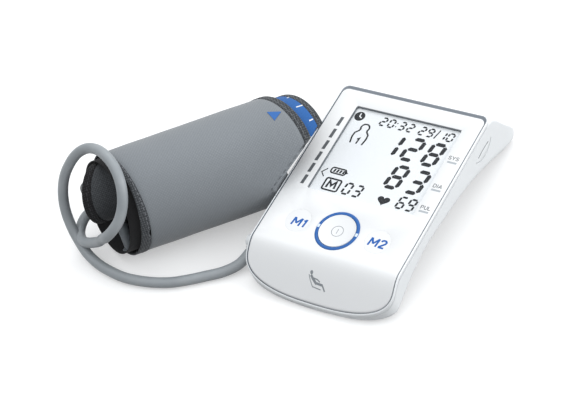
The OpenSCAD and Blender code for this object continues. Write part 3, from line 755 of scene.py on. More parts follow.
# heart
hrt = []
for k in range(48):
    t = 2 * pi * k / 48
    hrt.append((15.0 + 0.25 * 16 * math.sin(t) ** 3, 28.6 + 0.22 * (13 * math.cos(t) - 5 * math.cos(2 * t) - 2 * math.cos(3 * t) - math.cos(4 * t))))
lcd.append(hrt)
lcd.append(stroke([(-28.9, 40.4), (-31.5, 37.2), (-28.8, 34.3)], 0.7))
# battery
lcd.append(stroke(rrect(-26.4, -16.7, 38.2, 42.2, 1.3, 4), 1.0, True))
lcd.append([(-16.4, 39.2), (-15.0, 40.2), (-16.4, 41.3)])
for k in range(4):
    x = -25.0 + 2.05 * k
    lcd.append([(x, 39.0), (x + 1.25, 39.0), (x + 1.75, 41.4), (x + 0.5, 41.4)])
# memory box
lcd.append(stroke(rrect(-25.9, -15.8, 25.9, 34.3, 1.2, 4), 1.15, True))
lcd.append(stroke([(-23.6, 27.6), (-23.0, 32.6), (-20.9, 29.3), (-18.6, 32.6), (-18.2, 27.6)], 1.45))
# round clock sign: disc with pale hands
disc = [circle(-29.1, 81.6, 3.45, 40)]
prisms("lcd_segments", lcd, -1.70, -1.655, "lcd_black", "monitor")
prisms("lcd_disc", disc, -1.70, -1.655, "lcd_black", "monitor")
prisms("lcd_disc_hands", [stroke([(-29.1, 83.9), (-29.1, 81.5), (-27.4, 80.6)], 0.75)], -1.66, -1.62, "lcd", "monitor")

# prints on the faceplate
bars = []
for y1, y0 in ((77.0, 70.0), (67.6, 60.6), (58.4, 51.5), (49.5, 42.6), (40.6, 33.6), (31.5, 24.7)):
    bars.append([(-39.3, y0), (-37.2, y0 + 0.15), (-36.9, y1 + 0.1), (-39.0, y1)])
prisms("scale_bars", bars, -0.04, 0.03, "print_grey", "monitor")
units = [rrect(39.6, 45.7, y - 0.65, y + 0.65, 0.25, 3) for y in (63.9, 43.0, 27.1)]
prisms("unit_marks", units, -0.04, 0.03, "print_pale", "monitor")


# plain letters from bars: lines in a box one wide and one tall
GLYPH = {
    "M": (1.0, [[(0.08, 0), (0.08, 1)], [(0.92, 0), (0.92, 1)], [(0.1, 0.98), (0.5, 0.3)], [(0.9, 0.98), (0.5, 0.3)]]),
    "1": (0.42, [[(0.62, 0), (0.62, 1)], [(0.05, 0.74), (0.6, 0.93)]]),
    "2": (0.72, [[(0.08, 0.76), (0.16, 0.9), (0.36, 0.96), (0.66, 0.94), (0.86, 0.8), (0.84, 0.6), (0.12, 0.08)], [(0.08, 0.05), (0.95, 0.05)]]),
    "S": (0.66, [[(0.92, 0.82), (0.7, 0.96), (0.3, 0.96), (0.08, 0.78), (0.16, 0.58), (0.84, 0.42), (0.92, 0.22), (0.7, 0.04), (0.3, 0.04), (0.06, 0.18)]]),
    "Y": (0.68, [[(0.5, 0), (0.5, 0.46)], [(0.5, 0.44), (0.04, 1)], [(0.5, 0.44), (0.96, 1)]]),
    "D": (0.7, [[(0.08, 0), (0.08, 1)], [(0.08, 0.96), (0.55, 0.96), (0.86, 0.78), (0.92, 0.5), (0.86, 0.22), (0.55, 0.04), (0.08, 0.04)]]),
    "I": (0.2, [[(0.5, 0), (0.5, 1)]]),
    "A": (0.72, [[(0.02, 0), (0.5, 1)], [(0.98, 0), (0.5, 1)], [(0.2, 0.3), (0.8, 0.3)]]),
    "P": (0.64, [[(0.08, 0), (0.08, 1)], [(0.08, 0.96), (0.6, 0.96), (0.9, 0.84), (0.9, 0.6), (0.6, 0.47), (0.08, 0.47)]]),
    "U": (0.68, [[(0.08, 1), (0.08, 0.3), (0.26, 0.06), (0.5, 0.03), (0.74, 0.06), (0.92, 0.3), (0.92, 1)]]),
    "L": (0.58, [[(0.08, 1), (0.08, 0)], [(0.08, 0.05), (0.95, 0.05)]]),
}


def letters(word, cx, cy, h, w, weight, gap, body_name, mat, name, shear=0.0):
    """word centred at (cx, cy); w is the width of one full box"""
    total = sum(GLYPH[c][0] * w for c in word) + gap * (len(word) - 1)
    x = cx - total / 2
    k = 0
    for c in word:
        gw, lines = GLYPH[c]
        for line in lines:
            pts = [(x + a * gw * w + (b - 0.5) * h * shear, cy + (b - 0.5) * h) for a, b in line]
            prisms(f"{name}_{k}", [stroke(pts, weight)], -0.04, 0.025 + 0.002 * (k % 4), mat, body_name)
            k += 1
        x += gw * w + gap


letters("SYS", 42.5, 67.1, 2.5, 2.9, 0.42, 0.45, "monitor", "print_grey", "label_sys")
letters("DIA", 42.4, 46.0, 2.5, 2.9, 0.42, 0.45, "monitor", "print_grey", "label_dia")
letters("PUL", 42.7, 30.0, 2.5, 2.9, 0.42, 0.45, "monitor", "print_grey", "label_pul")
letters("M1", -25.1, -1.0, 5.6, 5.7, 1.2, 1.1, "memory_key_left", "print_blue", "label_m1", shear=0.14)
letters("M2", 27.2, -0.6, 5.6, 5.7, 1.2, 1.0, "memory_key_right", "print_blue", "label_m2", shear=0.14)

# start sign in the dish: thin ring and a stroke


def dish(r):
    return 0.44 - DISH * (1 - (r / START_R) ** 2)


sign = []
for k in range(64):
    a = 2 * pi * k / 64
    ring_sec = []
    for r, dn in ((3.4, -0.02), (3.75, -0.02), (3.75, 0.03), (3.4, 0.03)):
        ring_sec.append(PN(r * math.cos(a), r * math.sin(a), dish(r) + dn))
    sign.append(ring_sec)
v, f = loft(sign, close_rings=True)
finish_mesh("start_sign_ring", mesh_of(v, f), "sign_grey", "start_key")
rings = []
for k in range(9):
    y = -1.7 + 3.4 * k / 8
    rings.append([PN(x, y, dish(abs(y)) + dn) for x, dn in ((-0.17, -0.02), (0.17, -0.02), (0.17, 0.03), (-0.17, 0.03))])
v, f = loft(rings)
finish_mesh("start_sign_stroke", mesh_of(v, f), "sign_grey", "start_key")

# seated figure sign on the nose
sign_parts = [
    [(-4.2 + 0.95 * cosd(a), -27.1 + 0.95 * sind(a)) for a in range(0, 360, 20)],
    stroke([(-4.3, -28.3), (-2.4, -29.9), (0.2, -31.6)], 1.35),
    stroke([(0.0, -31.3), (4.3, -31.5)], 1.1),
    stroke([(4.0, -31.3), (6.3, -33.9)], 0.8),
    stroke([(-5.6, -28.3), (-4.2, -30.6), (-1.9, -33.3)], 0.45),
    stroke([(-2.0, -33.2), (3.6, -33.6)], 0.45),
    stroke([(-2.9, -29.3), (0.4, -29.6), (2.2, -30.4)], 0.6)]
for k, part in enumerate(sign_parts):
    prisms(f"seated_sign_{k}", [part], -0.04, 0.035 + 0.002 * k, "sign_grey", "monitor", bend=True)

# ---------------------------------------------------------------- base housing
OUTER_LOW = [(-42, -21.7), (-34, -22.3), (-28, -22.2), (-20, -19.8), (-10, -16.9), (0, -14.9), (10, -13.9), (20, -14.1),
             (36, -16.2), (50, -18.2), (64, -21.1), (78, -25.4), (90, -30.2), (100, -34.6), (108, -38.2), (112, -39.4),
             (116.5, -40.1), (119.8, -39.4), (121.8, -37.4), (122.2, -34.6)]
REAR_WALL = [(101, -2.65), (104, -5), (107, -9.8), (113.5, -20.7), (119.6, -30), (122.2, -34.6)]
INNER_LOW = [(-42, -19.9), (-34, -20.2), (-28, -20), (-20, -17.6), (-10, -14.8), (0, -12.8), (10, -11.8), (20, -12),
             (36, -14), (50, -16), (64, -18.9), (78, -23.2), (90, -28), (100, -32.4), (108, -35.9), (113, -37.1), (117, -37.6), (119.4, -36.4), (119.9, -34.4)]
INNER_REAR = [(98, -3.5), (101.8, -5.4), (105, -10.5), (111.3, -21), (117.4, -30), (119.9, -34.4)]


def smooth_at(P, x):
    """monotone cubic through the points, flat steps left straight"""
    if x <= P[0][0]:
        return P[0][1]
    if x >= P[-1][0]:
        return P[-1][1]
    for i in range(len(P) - 1):
        if P[i][0] <= x <= P[i + 1][0]:
            break
    x0, y0 = P[i]
    x1, y1 = P[i + 1]
    d = (y1 - y0) / (x1 - x0)

    def slope(k):
        if k <= 0 or k >= len(P) - 1:
            return d
        a = (P[k][1] - P[k - 1][1]) / (P[k][0] - P[k - 1][0])
        b = (P[k + 1][1] - P[k][1]) / (P[k + 1][0] - P[k][0])
        return 0.5 * (a + b)
    m0, m1 = slope(i), slope(i + 1)
    h = x1 - x0
    t = (x - x0) / h
    return y0 * (1 + 2 * t) * (1 - t) ** 2 + m0 * h * t * (1 - t) ** 2 + y1 * t * t * (3 - 2 * t) + m1 * h * t * t * (t - 1)


def half_width(v, o, b, rc):
    w = W2 + o
    if v < NV:
        y = (NV - v) / (NV - NTIP + o)
        return w * max(0.0, 1 - min(1.0, y) ** NP) ** (1 / NP)
    e = v - (REAR + b - rc)
    if e > 0:
        return w - rc + math.sqrt(max(0.0, rc * rc - min(e, rc) ** 2))
    return w


def edge_distance(u, v, o, b, rc):
    """distance to the plan outline, inward"""
    w = W2 + o
    if v < NV:
        bb = NV - NTIP + o
        X, Y = abs(u) / w, (NV - v) / bb
        g = (X ** NP + Y ** NP) ** (1 / NP)
        if g < 1e-6:
            return w
        gx = (X / g) ** (NP - 1) / w
        gy = (Y / g) ** (NP - 1) / bb
        return max(0.0, (1 - g) / math.hypot(gx, gy))
    e = v - (REAR + b - rc)
    if e > 0:
        if abs(u) > w - rc:
            return max(0.0, rc - math.hypot(abs(u) - (w - rc), e))
        return max(0.0, min(w - abs(u), rc - e))
    return w - abs(u)


def shell_skin(o, b, rc, low, rear, top_gap, R, tip, mirror=False):
    """outer (or inner) skin of the base as (rows of points, top edge lines, number of side stations)"""
    stations = []
    for k in range(0, 37):
        a = 2.5 * k
        stations.append(NV - (NV - NTIP + o) * se(cosd(a)) if k else NV - (NV - NTIP + o))
    stations += [-22 + 2.0 * k for k in range(0, 11)] + [2 + 3.0 * k for k in range(33)]
    x = 101.0 if tip is None else tip
    stations = [s for s in stations if s < x - 0.7]
    n_side = len(stations)
    v_end = rear[-1][0]
    st2 = [x + (v_end - x) * t for t in (0, .03, .07, .12, .18, .25, .33, .42, .52, .62, .72, .8, .86, .91, .95, .975, .99, 1.0)]
    M_ = 11
    verts, rows = [], []
    allst = stations + st2
    for v in allst:
        w = half_width(v, o, b, rc)
        ntop = top(v) - top_gap if v < x else smooth_at(rear, v)
        if v >= x:
            ntop = smooth_at(rear, v)
        nlow = smooth_at(low, v)
        hgt = max(0.02, ntop - nlow)
        r = min(R, 0.55 * hgt)
        cols = []
        for s in (-1, 1):
            side = []
            for k in range(M_):
                t = 0.5 * pi * k / (M_ - 1)
                e = min(r * (1 - math.cos(t)), w)
                u = w - e
                if k == 0:
                    rise = r
                else:
                    d = min(edge_distance(u, v, o, b, rc), e) if v < NV else e
                    rise = r - math.sqrt(max(0.0, r * r - max(0.0, r - min(d, r)) ** 2))
                side.append((s * u, nlow + rise))
            cols.append(side if s < 0 else side[::-1])
        w0 = max(0.0, w - r)
        mid = [(-w0 + 2 * w0 * k / 6, nlow) for k in range(1, 6)]
        row = cols[0] + mid + cols[1]
        rows.append([(u, v, n) for u, n in row])
    topn = []
    for i, v in enumerate(allst):
        w = half_width(v, o, b, rc)
        if v < x:
            topn.append([(-w, v, top(v) - top_gap), (w, v, top(v) - top_gap)])
        else:
            nr = smooth_at(rear, v)
            rr = min(2.2 if R > 2 else 0.8, 0.4 * max(0.02, nr - smooth_at(low, v)))
            line = []
            for k in range(7):
                t = 0.5 * pi * k / 6
                line.append((-w + rr * (1 - math.cos(t)), v, nr - rr * (1 - math.sin(t))))
            for k in range(1, 6):
                line.append((-w + rr + (2 * w - 2 * rr) * k / 6, v, nr))
            for k in range(6, -1, -1):
                t = 0.5 * pi * k / 6
                line.append((w - rr * (1 - math.cos(t)), v, nr - rr * (1 - math.sin(t))))
            topn.append(line)
    return rows, topn, n_side


def build_base():
    bm = bmesh.new()
    loops = []
    for o, b, rc, low, rear, gap, R, flip in ((1.2, 26, 9, OUTER_LOW, REAR_WALL, 2.65, 5.0, False), (-0.8, 24, 7, INNER_LOW, INNER_REAR, 2.65, 2.0, True)):
        rows, topn, ns = shell_skin(o, b, rc, low, rear, gap, R, rear[0][0])
        V = [[bm.verts.new(p) for p in row] for row in rows]
        for i in range(len(V) - 1):
            for j in range(len(V[0]) - 1):
                bm.faces.new((V[i][j], V[i][j + 1], V[i + 1][j + 1], V[i + 1][j]))
        tops = []
        for i, line in enumerate(topn):
            tops.append([bm.verts.new(p) for p in line])
        # the side walls in rows, so their shading stays flat between the rounded edges
        walls = []
        for i in range(len(V)):
            pair = []
            for e in (0, -1):
                a, b = V[i][e].co, tops[i][e].co
                h = max(1e-4, (b - a).length)
                f0 = min(0.3, 0.7 / h)
                pair.append([V[i][e]] + [bm.verts.new(a.lerp(b, f)) for f in (f0, 0.5, 1 - f0)] + [tops[i][e]])
            walls.append(pair)
        for i in range(len(V) - 1):
            for e in (0, 1):
                for k in range(4):
                    bm.faces.new((walls[i][e][k], walls[i + 1][e][k], walls[i + 1][e][k + 1], walls[i][e][k + 1]))
        for i in range(ns, len(V) - 1):
            for j in range(len(tops[i]) - 1):
                bm.faces.new((tops[i][j], tops[i][j + 1], tops[i + 1][j + 1], tops[i + 1][j]))
        # last station closes low edge to top edge; the first one closes the nose
        bm.faces.new(list(V[-1]) + walls[-1][1][1:4] + list(reversed(tops[-1])) + walls[-1][0][3:0:-1])
        bm.faces.new(list(V[0]) + walls[0][1][1:4] + list(reversed(tops[0])) + walls[0][0][3:0:-1])
        left = [tops[i][0] for i in range(ns)]
        rght = [tops[i][-1] for i in range(ns)]
        loop = left + tops[ns] + rght[::-1]
        loops.append(loop)
    # rim between the skins
    L0, L1 = loops
    edges = []
    for L in loops:
        for i in range(len(L)):
            a, b = L[i], L[(i + 1) % len(L)]
            e = bm.edges.get((a, b)) or bm.edges.new((a, b))
            edges.append(e)
    bmesh.ops.triangle_fill(bm, use_beauty=True, use_dissolve=False, edges=edges)
    bmesh.ops.remove_doubles(bm, verts=bm.verts, dist=0.004)
    for v in bm.verts:
        v.co = PN(*v.co)
    bmesh.ops.recalc_face_normals(bm, faces=bm.faces)
    me = bpy.data.meshes.new("base_shell")
    bm.to_mesh(me)
    bm.free()
    return me


def cutter(name, verts, faces):
    me = mesh_of(verts, faces, name)
    bm = bmesh.new()
    bm.from_mesh(me)
    bmesh.ops.recalc_face_normals(bm, faces=bm.faces)
    bm.to_mesh(me)
    bm.free()
    ob = bpy.data.objects.new(name, me)
    scene.collection.objects.link(ob)
    return ob


def prism_between(loop0, loop1):
    return loft([loop0, loop1])


def lens_points(g, n=28):
    """flap outline in (v, n): lower arc about (86, -3.74), upper arc about (86, -45.2)"""
    c0, r0, c1, r1 = (86.0, -3.74), 13.36 + g, (86.0, -45.2), 34.1 + g
    d = c0[1] - c1[1]
    yi = (d * d + r1 * r1 - r0 * r0) / (2 * d) + c1[1]
    xi = math.sqrt(max(0.0, r0 * r0 - (yi - c0[1]) ** 2))
    a0 = math.atan2(yi - c0[1], -xi)
    a1 = math.atan2(yi - c0[1], xi)
    if a1 > a0:
        a0 += 2 * pi
    pts = []
    lo0, lo1 = math.atan2(yi - c0[1], -xi), math.atan2(yi - c0[1], xi)
    if lo0 > 0:
        lo0 -= 2 * pi
    for k in range(n + 1):
        a = lo0 + (lo1 - lo0) * k / n
        pts.append((c0[0] + r0 * math.cos(a), c0[1] + r0 * math.sin(a)))
    hi0, hi1 = math.atan2(yi - c1[1], xi), math.atan2(yi - c1[1], -xi)
    for k in range(1, n):
        a = hi0 + (hi1 - hi0) * k / n
        pts.append((c1[0] + r1 * math.cos(a), c1[1] + r1 * math.sin(a)))
    return pts


def rod(name, p, q, r0, r1, segs=48):
    a, x, y = frame_axes(q - p)
    loops = [[c + (x * math.cos(2 * pi * k / segs) + y * math.sin(2 * pi * k / segs)) * (r * 0.001) for k in range(segs)] for c, r in ((p, r0), (q, r1))]
    return cutter(name, *loft(loops))


SCREWS = ((43, 10, -12.1), (-43, 10, -12.1), (43, 70, -14.0), (-43, 70, -14.0))
FEET = ((36, 115, 3.0), (-36, 115, 3.0), (26, -31, 1.8), (-26, -31, 1.8))
base_me = build_base()
base = finish_mesh("base_case", base_me, "white_case", "monitor", ["base_housing"], 32)
cuts = []
lp = lens_points(0.25)
cuts.append(cutter("cut_flap", *prism_between([PN(40, v, n) for v, n in lp], [PN(60, v, n) for v, n in lp])))
for i, (fx, fy, fh) in enumerate(FEET):
    cuts.append(rod(f"cut_foot{i}", T(fx, fy, -5), T(fx, fy, fh + 0.05), 4.15, 4.15))
for i, (su, sv, sn) in enumerate(SCREWS):
    cuts.append(rod(f"cut_screw{i}", PN(su, sv, -60), PN(su, sv, sn), 2.75, 2.75))
cuts.append(rod("cut_socket", T(-60, -13.3, 13.9), T(-40, -13.3, 13.9), 3.7, 3.7))
col = bpy.data.collections.new("cuts")
scene.collection.children.link(col)
for c in cuts:
    scene.collection.objects.unlink(c)
    col.objects.link(c)
bool_mod = base.modifiers.new("holes", "BOOLEAN")
bool_mod.operation = "DIFFERENCE"
bool_mod.operand_type = "COLLECTION"
bool_mod.collection = col
bool_mod.solver = "EXACT"
bpy.context.view_layer.update()
dg = bpy.context.evaluated_depsgraph_get()
cut_me = bpy.data.meshes.new_from_object(base.evaluated_get(dg))
base.modifiers.clear()
old = base.data
base.data = cut_me
bpy.data.meshes.remove(old)
if len(base.data.materials) == 0:
    base.data.materials.append(M["white_case"])
for p in base.data.polygons:
    p.material_index = 0
    p.use_smooth = True
base.data.set_sharp_from_angle(angle=math.radians(32))
for c in cuts:
    me = c.data
    bpy.data.objects.remove(c)
    bpy.data.meshes.remove(me)
bpy.data.collections.remove(col)

# side flap: slab with a rounded edge, and a thin dark band on it as the painted shade of a finger groove
flap = []
for u, g in ((48.3, -0.1), (48.3, 0.0), (49.25, 0.0), (49.5, -0.08), (49.6, -0.3)):
    flap.append([PN(u, v, n) for v, n in lens_points(g)])
v_, f_ = loft(flap)
flap_ob = finish_mesh("flap_plate", mesh_of(v_, f_), "white_case", "port_flap", ["port_cover"], 40)
groove = []
gp = [(79.4, -12.2), (81.6, -11.95), (83.8, -11.8), (86, -11.75), (88.2, -11.8), (90.4, -11.95), (92.6, -12.2)]
for i, (v, n) in enumerate(gp):
    a = gp[max(i - 1, 0)]
    b = gp[min(i + 1, len(gp) - 1)]
    d = Vector((b[0] - a[0], b[1] - a[1])).normalized()
    nn = Vector((-d.y, d.x))
    groove.append([PN(u, v + nn.x * s, n + nn.y * s) for u, s in ((49.58, -0.3), (49.66, -0.26), (49.66, 0.26), (49.58, 0.3))])
v_, f_ = loft(groove)
finish_mesh("flap_groove_painted_shade", mesh_of(v_, f_), "print_grey", "port_flap")

# ---------------------------------------------------------------- the rolled cuff
PL0, PL1 = (25.9, -0.297, 0.258), (29.9, -0.358, 0.192)
PR1, PR2 = (125.8, -0.446, 0.308), (129.2, -0.456, 0.339)
PB1, PE1 = (136.4, -0.445, 0.39), (139.2, -0.445, 0.433)
PC0, PC1 = (14.7, 0.54, -0.15), (20.2, 0.54, -0.15)


def wedge(w, z, gap):
    """how far right a point of the roll may reach beside the unit"""
    zt = z + RR
    xw = -50.6 + 34 * max(0.0, min(1.0, (zt - 32) / 47.0)) if zt < 79 else 60.0
    if zt >= 79:
        xw = -16.6
    return (xw - gap - AX + w * SY) / CY


def softmin(a, b, k=0.8):
    h = max(0.0, min(1.0, 0.5 + 0.5 * (b - a) / k))
    return b * (1 - h) + a * h - k * h * (1 - h)


def plane_at(p, w, z):
    return p[0] + p[1] * w + p[2] * z


def layer(name, r0, r1, left, right_, gapl, gapr, mat, rep=(), cy=0.0, cz=0.0, a0=0.0, a1=360.0, nphi=192, ns=20,
          edge=None, wave=0.0, bulge=0.0, seed=3, lift=None):
    """a turn of cloth as a closed shell with rounded hems; left and right_ are planes, gap keeps it short of the unit"""
    rnd = random.Random(seed)
    ph = [rnd.uniform(0, 6.28) for _ in range(8)]
    full = a1 - a0 >= 359.9
    e = edge if edge is not None else min(0.45, (r1 - r0) * 0.5)
    rings, uvs = [], []
    for k in range(nphi if full else nphi + 1):
        a = math.radians(a0 + (a1 - a0) * k / nphi)
        ca, sa = math.cos(a), math.sin(a)

        def lim(r, which):
            w, z = cy + r * ca, cz + r * sa
            if which:
                return softmin(plane_at(right_, w, z), wedge(w, z, gapr))
            return min(plane_at(left, w, z), wedge(w, z, gapl) - 1.0) if gapl is not None else plane_at(left, w, z)
        rm = 0.5 * (r0 + r1)
        sl, sr = lim(rm, 0), lim(rm, 1)
        if sr < sl + 2.2 * e:
            sr = sl + 2.2 * e
        sec = [(sl + e * 0.9, r0), (sl + e * 0.3, r0 + e * 0.3), (sl, r0 + e), (sl, r1 - e), (sl + e * 0.3, r1 - e * 0.3), (sl + e * 0.9, r1)]
        for i in range(1, ns):
            t = i / ns
            s = sl + e * 0.9 + (sr - sl - 1.8 * e) * t
            d = wave * (math.sin(0.11 * s + 2 * a + ph[0]) + 0.6 * math.sin(0.19 * s - 3 * a + ph[1]) + 0.4 * math.sin(0.31 * s + 5 * a + ph[2])) / 2.0
            d += bulge * math.sin(pi * t) ** 0.6
            fade = min(1.0, 6 * t, 6 * (1 - t))
            sec.append((s, r1 + d * fade))
        sec += [(sr - e * 0.9, r1), (sr - e * 0.3, r1 - e * 0.3), (sr, r1 - e), (sr, r0 + e), (sr - e * 0.3, r0 + e * 0.3), (sr - e * 0.9, r0)]
        for i in range(1, 6):
            t = i / 6
            sec.append((sr - e * 0.9 - (sr - sl - 1.8 * e) * t, r0))
        dr = lift(a) if lift else 0.0
        rings.append([RF(s, cy + (r + dr) * ca, cz + (r + dr) * sa) for s, r in sec])
        uvs.append([(s * 0.001, rm * a * 0.001) for s, r in sec])
    n = len(rings[0])
    v, f = loft(rings, close_rings=full)
    me = mesh_of(v, f, name)
    uv = me.uv_layers.new(name="UVMap")
    K = len(rings)
    turn = 2 * pi * 0.5 * (r0 + r1) * 0.001
    for p in me.polygons:
        ks = [me.loops[i].vertex_index // n for i in p.loop_indices]
        wrap = full and max(ks) == K - 1 and min(ks) == 0
        for i in p.loop_indices:
            vi = me.loops[i].vertex_index
            u_, v2 = uvs[vi // n][vi % n]
            if wrap and vi // n == 0:
                v2 += turn
            uv.data[i].uv = (u_, v2)
    return finish_mesh(name, me, mat, "cuff", rep, 50)


cover = layer("cuff_outer_cloth", 31.3, 31.95, PL1, PR1, 40, -0.1, "cuff_fabric", ["cuff_cover"], wave=0.10, bulge=0.16, ns=36, nphi=256)
# the outer cloth is turned in over the layers' ends beside the unit
fold = []
for k in range(41):
    a = math.radians(152 + 72 * k / 40)
    sec = []
    for rr_, g in ((31.2, 0.45), (30, 0.4), (28, 0.4), (26, 0.4), (24, 0.4), (22, 0.4), (21.6, 0.65), (22, 0.9), (24, 0.9), (26, 0.9), (28, 0.9), (30, 0.9), (31.2, 0.9)):
        w_, z_ = rr_ * math.cos(a), rr_ * math.sin(a)
        sec.append(RF(min(wedge(w_, z_, g), plane_at(PR1, w_, z_) - 0.4), w_, z_))
    fold.append(sec)
v_, f_ = loft(fold)
finish_mesh("cuff_turned_end", mesh_of(v_, f_), "cuff_fabric", "cuff", (), 50)
bl = layer("hem_tape_left", 31.1, 32.3, PL0, (PL1[0] + 0.3, PL1[1], PL1[2]), None, 55, "binding_tape", ["binding_left"], edge=0.5, ns=6, nphi=256)
br = layer("hem_tape_right", 31.1, 32.3, (PR1[0] - 0.3, PR1[1], PR1[2]), PR2, 1.0, 0.3, "binding_tape", ["binding_right"], edge=0.5, ns=6, nphi=220, a0=-128, a1=147)
wrap = layer("second_turn_cloth", 27.8, 28.6, (34, -0.33, 0.22), PB1, 45, 1.2, "inner_fabric", ["cuff_inner_wrap"], ns=10)
blue = layer("size_band_cloth", 28.62, 29.0, (126.4, -0.446, 0.308), (PB1[0] + 0.3, PB1[1], PB1[2]), 3, 0.5, "blue_band", ["size_band"], edge=0.18, ns=8, nphi=256)
bi = layer("hem_tape_inner", 27.65, 29.15, PB1, PE1, 1.0, 0.0, "binding_tape", ["inner_binding"], edge=0.5, ns=6, nphi=200, a0=-112, a1=132)
lining = layer("black_lining_cloth", 28.7, 29.4, (20, -0.297, 0.258), PR1, None, 6, "lining_fabric", ["cuff_lining"], ns=16)
core = layer("core_turn_cloth", 15.3, 17.6, PC1, (112, -0.3, 0.2), None, 8, "core_fabric", ["cuff_core_turn"], cy=KW, cz=KZ, edge=0.8, ns=20, nphi=160)
ct = layer("core_hem_tape", 15.1, 17.8, PC0, (PC1[0] + 0.3, PC1[1], PC1[2]), None, 60, "core_tape", ["core_binding"], cy=KW, cz=KZ, edge=0.8, ns=6, nphi=160)


def stitches(name, plane, r, body="cuff", gap=None, cy=0.0, cz=0.0, pitch=3.1, length=2.2, wid=0.26, hgt=0.2, mat="thread", a0=0.0, a1=360.0, across=False):
    """a row of raised lock stitches round the roll on a plane"""
    verts, faces = [], []
    n = int(math.radians(a1 - a0) * r / pitch)
    for k in range(n):
        am = math.radians(a0 + (a1 - a0) * (k + 0.5) / n)
        ring_pts = []
        for j in range(7):
            t = j / 6
            a = am + (t - 0.5) * length / r
            w, z = cy + r * math.cos(a), cz + r * math.sin(a)
            s = plane_at(plane, w, z)
            if gap is not None:
                s = softmin(s, wedge(w, z, gap))
            prof = math.sin(pi * min(1.0, max(0.0, t * 0.94 + 0.03))) ** 0.5
            sec = []
            for i in range(6):
                b = 2 * pi * i / 6
                sec.append(RF(s + wid * prof * math.cos(b), cy + (r + hgt * prof * math.sin(b)) * math.cos(a), cz + (r + hgt * prof * math.sin(b)) * math.sin(a)))
            ring_pts.append(sec)
        v, f = loft(ring_pts)
        off = len(verts)
        verts += v
        faces += [tuple(i + off for i in q) for q in f]
    return finish_mesh(name, mesh_of(verts, faces, name), mat, body, angle=60)


def mid_plane(p, q, t):
    return tuple(p[i] * (1 - t) + q[i] * t for i in range(3))


stitches("hem_stitch_left", mid_plane(PL0, PL1, 0.72), 32.3)
stitches("hem_stitch_right", mid_plane(PR1, PR2, 0.28), 32.3, gap=1.2, a0=62, a1=250)
stitches("hem_stitch_inner", mid_plane(PB1, PE1, 0.35), 29.15, gap=0.8, a0=62, a1=250)
stitches("core_stitch", mid_plane(PC0, PC1, 0.7), 17.8, cy=KW, cz=KZ, mat="elastomer")

# printed marks: index triangle on the cover, ticks on the blue band


def roll_patch(name, loop, r, thick, mat, sub=6):
    """flat print bent round the roll; loop of (s, angle in degrees)"""
    pts = []
    for i in range(len(loop)):
        a, b = Vector(loop[i]), Vector(loop[(i + 1) % len(loop)])
        for k in range(sub):
            pts.append(a + (b - a) * (k / sub))
    bm = bmesh.new()
    A_ = [bm.verts.new((p.x, p.y, 0)) for p in pts]
    B_ = [bm.verts.new((p.x, p.y, 1)) for p in pts]
    n = len(pts)
    for j in range(n):
        q = (j + 1) % n
        bm.faces.new((A_[j], A_[q], B_[q], B_[j]))
    for vs in (A_, B_):
        e = [bm.edges.get((vs[j], vs[(j + 1) % n])) for j in range(n)]
        bmesh.ops.triangle_fill(bm, use_beauty=True, use_dissolve=False, edges=e)
    lo = min(p.y for p in pts)
    hi = max(p.y for p in pts)
    y = math.ceil(lo) + 0.0
    while y < hi:
        bmesh.ops.bisect_plane(bm, geom=bm.verts[:] + bm.edges[:] + bm.faces[:], plane_co=(0, y, 0), plane_no=(0, 1, 0), dist=1e-5)
        y += 1.5
    for v in bm.verts:
        rr = r + (thick if v.co.z > 0.5 else -0.15)
        a = math.radians(v.co.y)
        v.co = RF(v.co.x, rr * math.cos(a), rr * math.sin(a))
    bmesh.ops.recalc_face_normals(bm, faces=bm.faces)
    me = bpy.data.meshes.new(name)
    bm.to_mesh(me)
    bm.free()
    return finish_mesh(name, me, mat, "cuff")


roll_patch("index_mark", [(128.1, 95.0), (136.0, 101.0), (130.6, 109.0)], 32.2, 0.07, "band_print")
for k, (s0, a0_, s1, a1_) in enumerate(((145.4, 97, 149.3, 97.4), (149.7, 120.2, 152.1, 119.8), (142.4, 73.6, 144.0, 73.4))):
    h = 0.8
    roll_patch(f"band_tick_{k}", [(s0, a0_ - h), (s1, a1_ - h), (s1, a1_ + h), (s0, a0_ + h)], 29.0, 0.05, "tick_white", sub=3)

# bent wire ring in the strap's end
path, nrm_list = [], []
RC, S0, S1, A0, A1 = 13.6, 10.7, 99.9, math.radians(104), math.radians(136)
ring2 = []
rc_ = 3.2
wa = rc_ / RC
pts2 = []
for s_, a_, q in ((S1 - rc_, A1 - wa, 0), (S0 + rc_, A1 - wa, 90), (S0 + rc_, A0 + wa, 180), (S1 - rc_, A0 + wa, 270)):
    for k in range(9):
        t = math.radians(q + 90 * k / 8)
        ds, da = {0: (math.cos(math.radians(90 * k / 8)), math.sin(math.radians(90 * k / 8)))}.get(0)
        th = math.radians(q) + math.radians(90 * k / 8)
        pts2.append((s_ + rc_ * math.cos(th), a_ + wa * math.sin(th)))
dense = []
for i in range(len(pts2)):
    a, b = pts2[i], pts2[(i + 1) % len(pts2)]
    L = math.hypot(b[0] - a[0], (b[1] - a[1]) * RC)
    m_ = max(1, int(L / 2.5))
    for k in range(m_):
        t = k / m_
        dense.append((a[0] + (b[0] - a[0]) * t, a[1] + (b[1] - a[1]) * t))
P3 = [RF(s, KW + RC * math.cos(a), KZ + RC * math.sin(a)) for s, a in dense]
RAD = [(RF(0, math.cos(a), math.sin(a)) - RF(0, 0, 0)).normalized() for s, a in dense]
rings = []
for i in range(len(P3)):
    t = (P3[(i + 1) % len(P3)] - P3[i - 1]).normalized()
    x = (RAD[i] - t * RAD[i].dot(t)).normalized()
    y = t.cross(x)
    rings.append([P3[i] + (x * math.cos(2 * pi * j / 14) + y * math.sin(2 * pi * j / 14)) * 0.0014 for j in range(14)])
v_, f_ = loft(rings, close_rings=True)
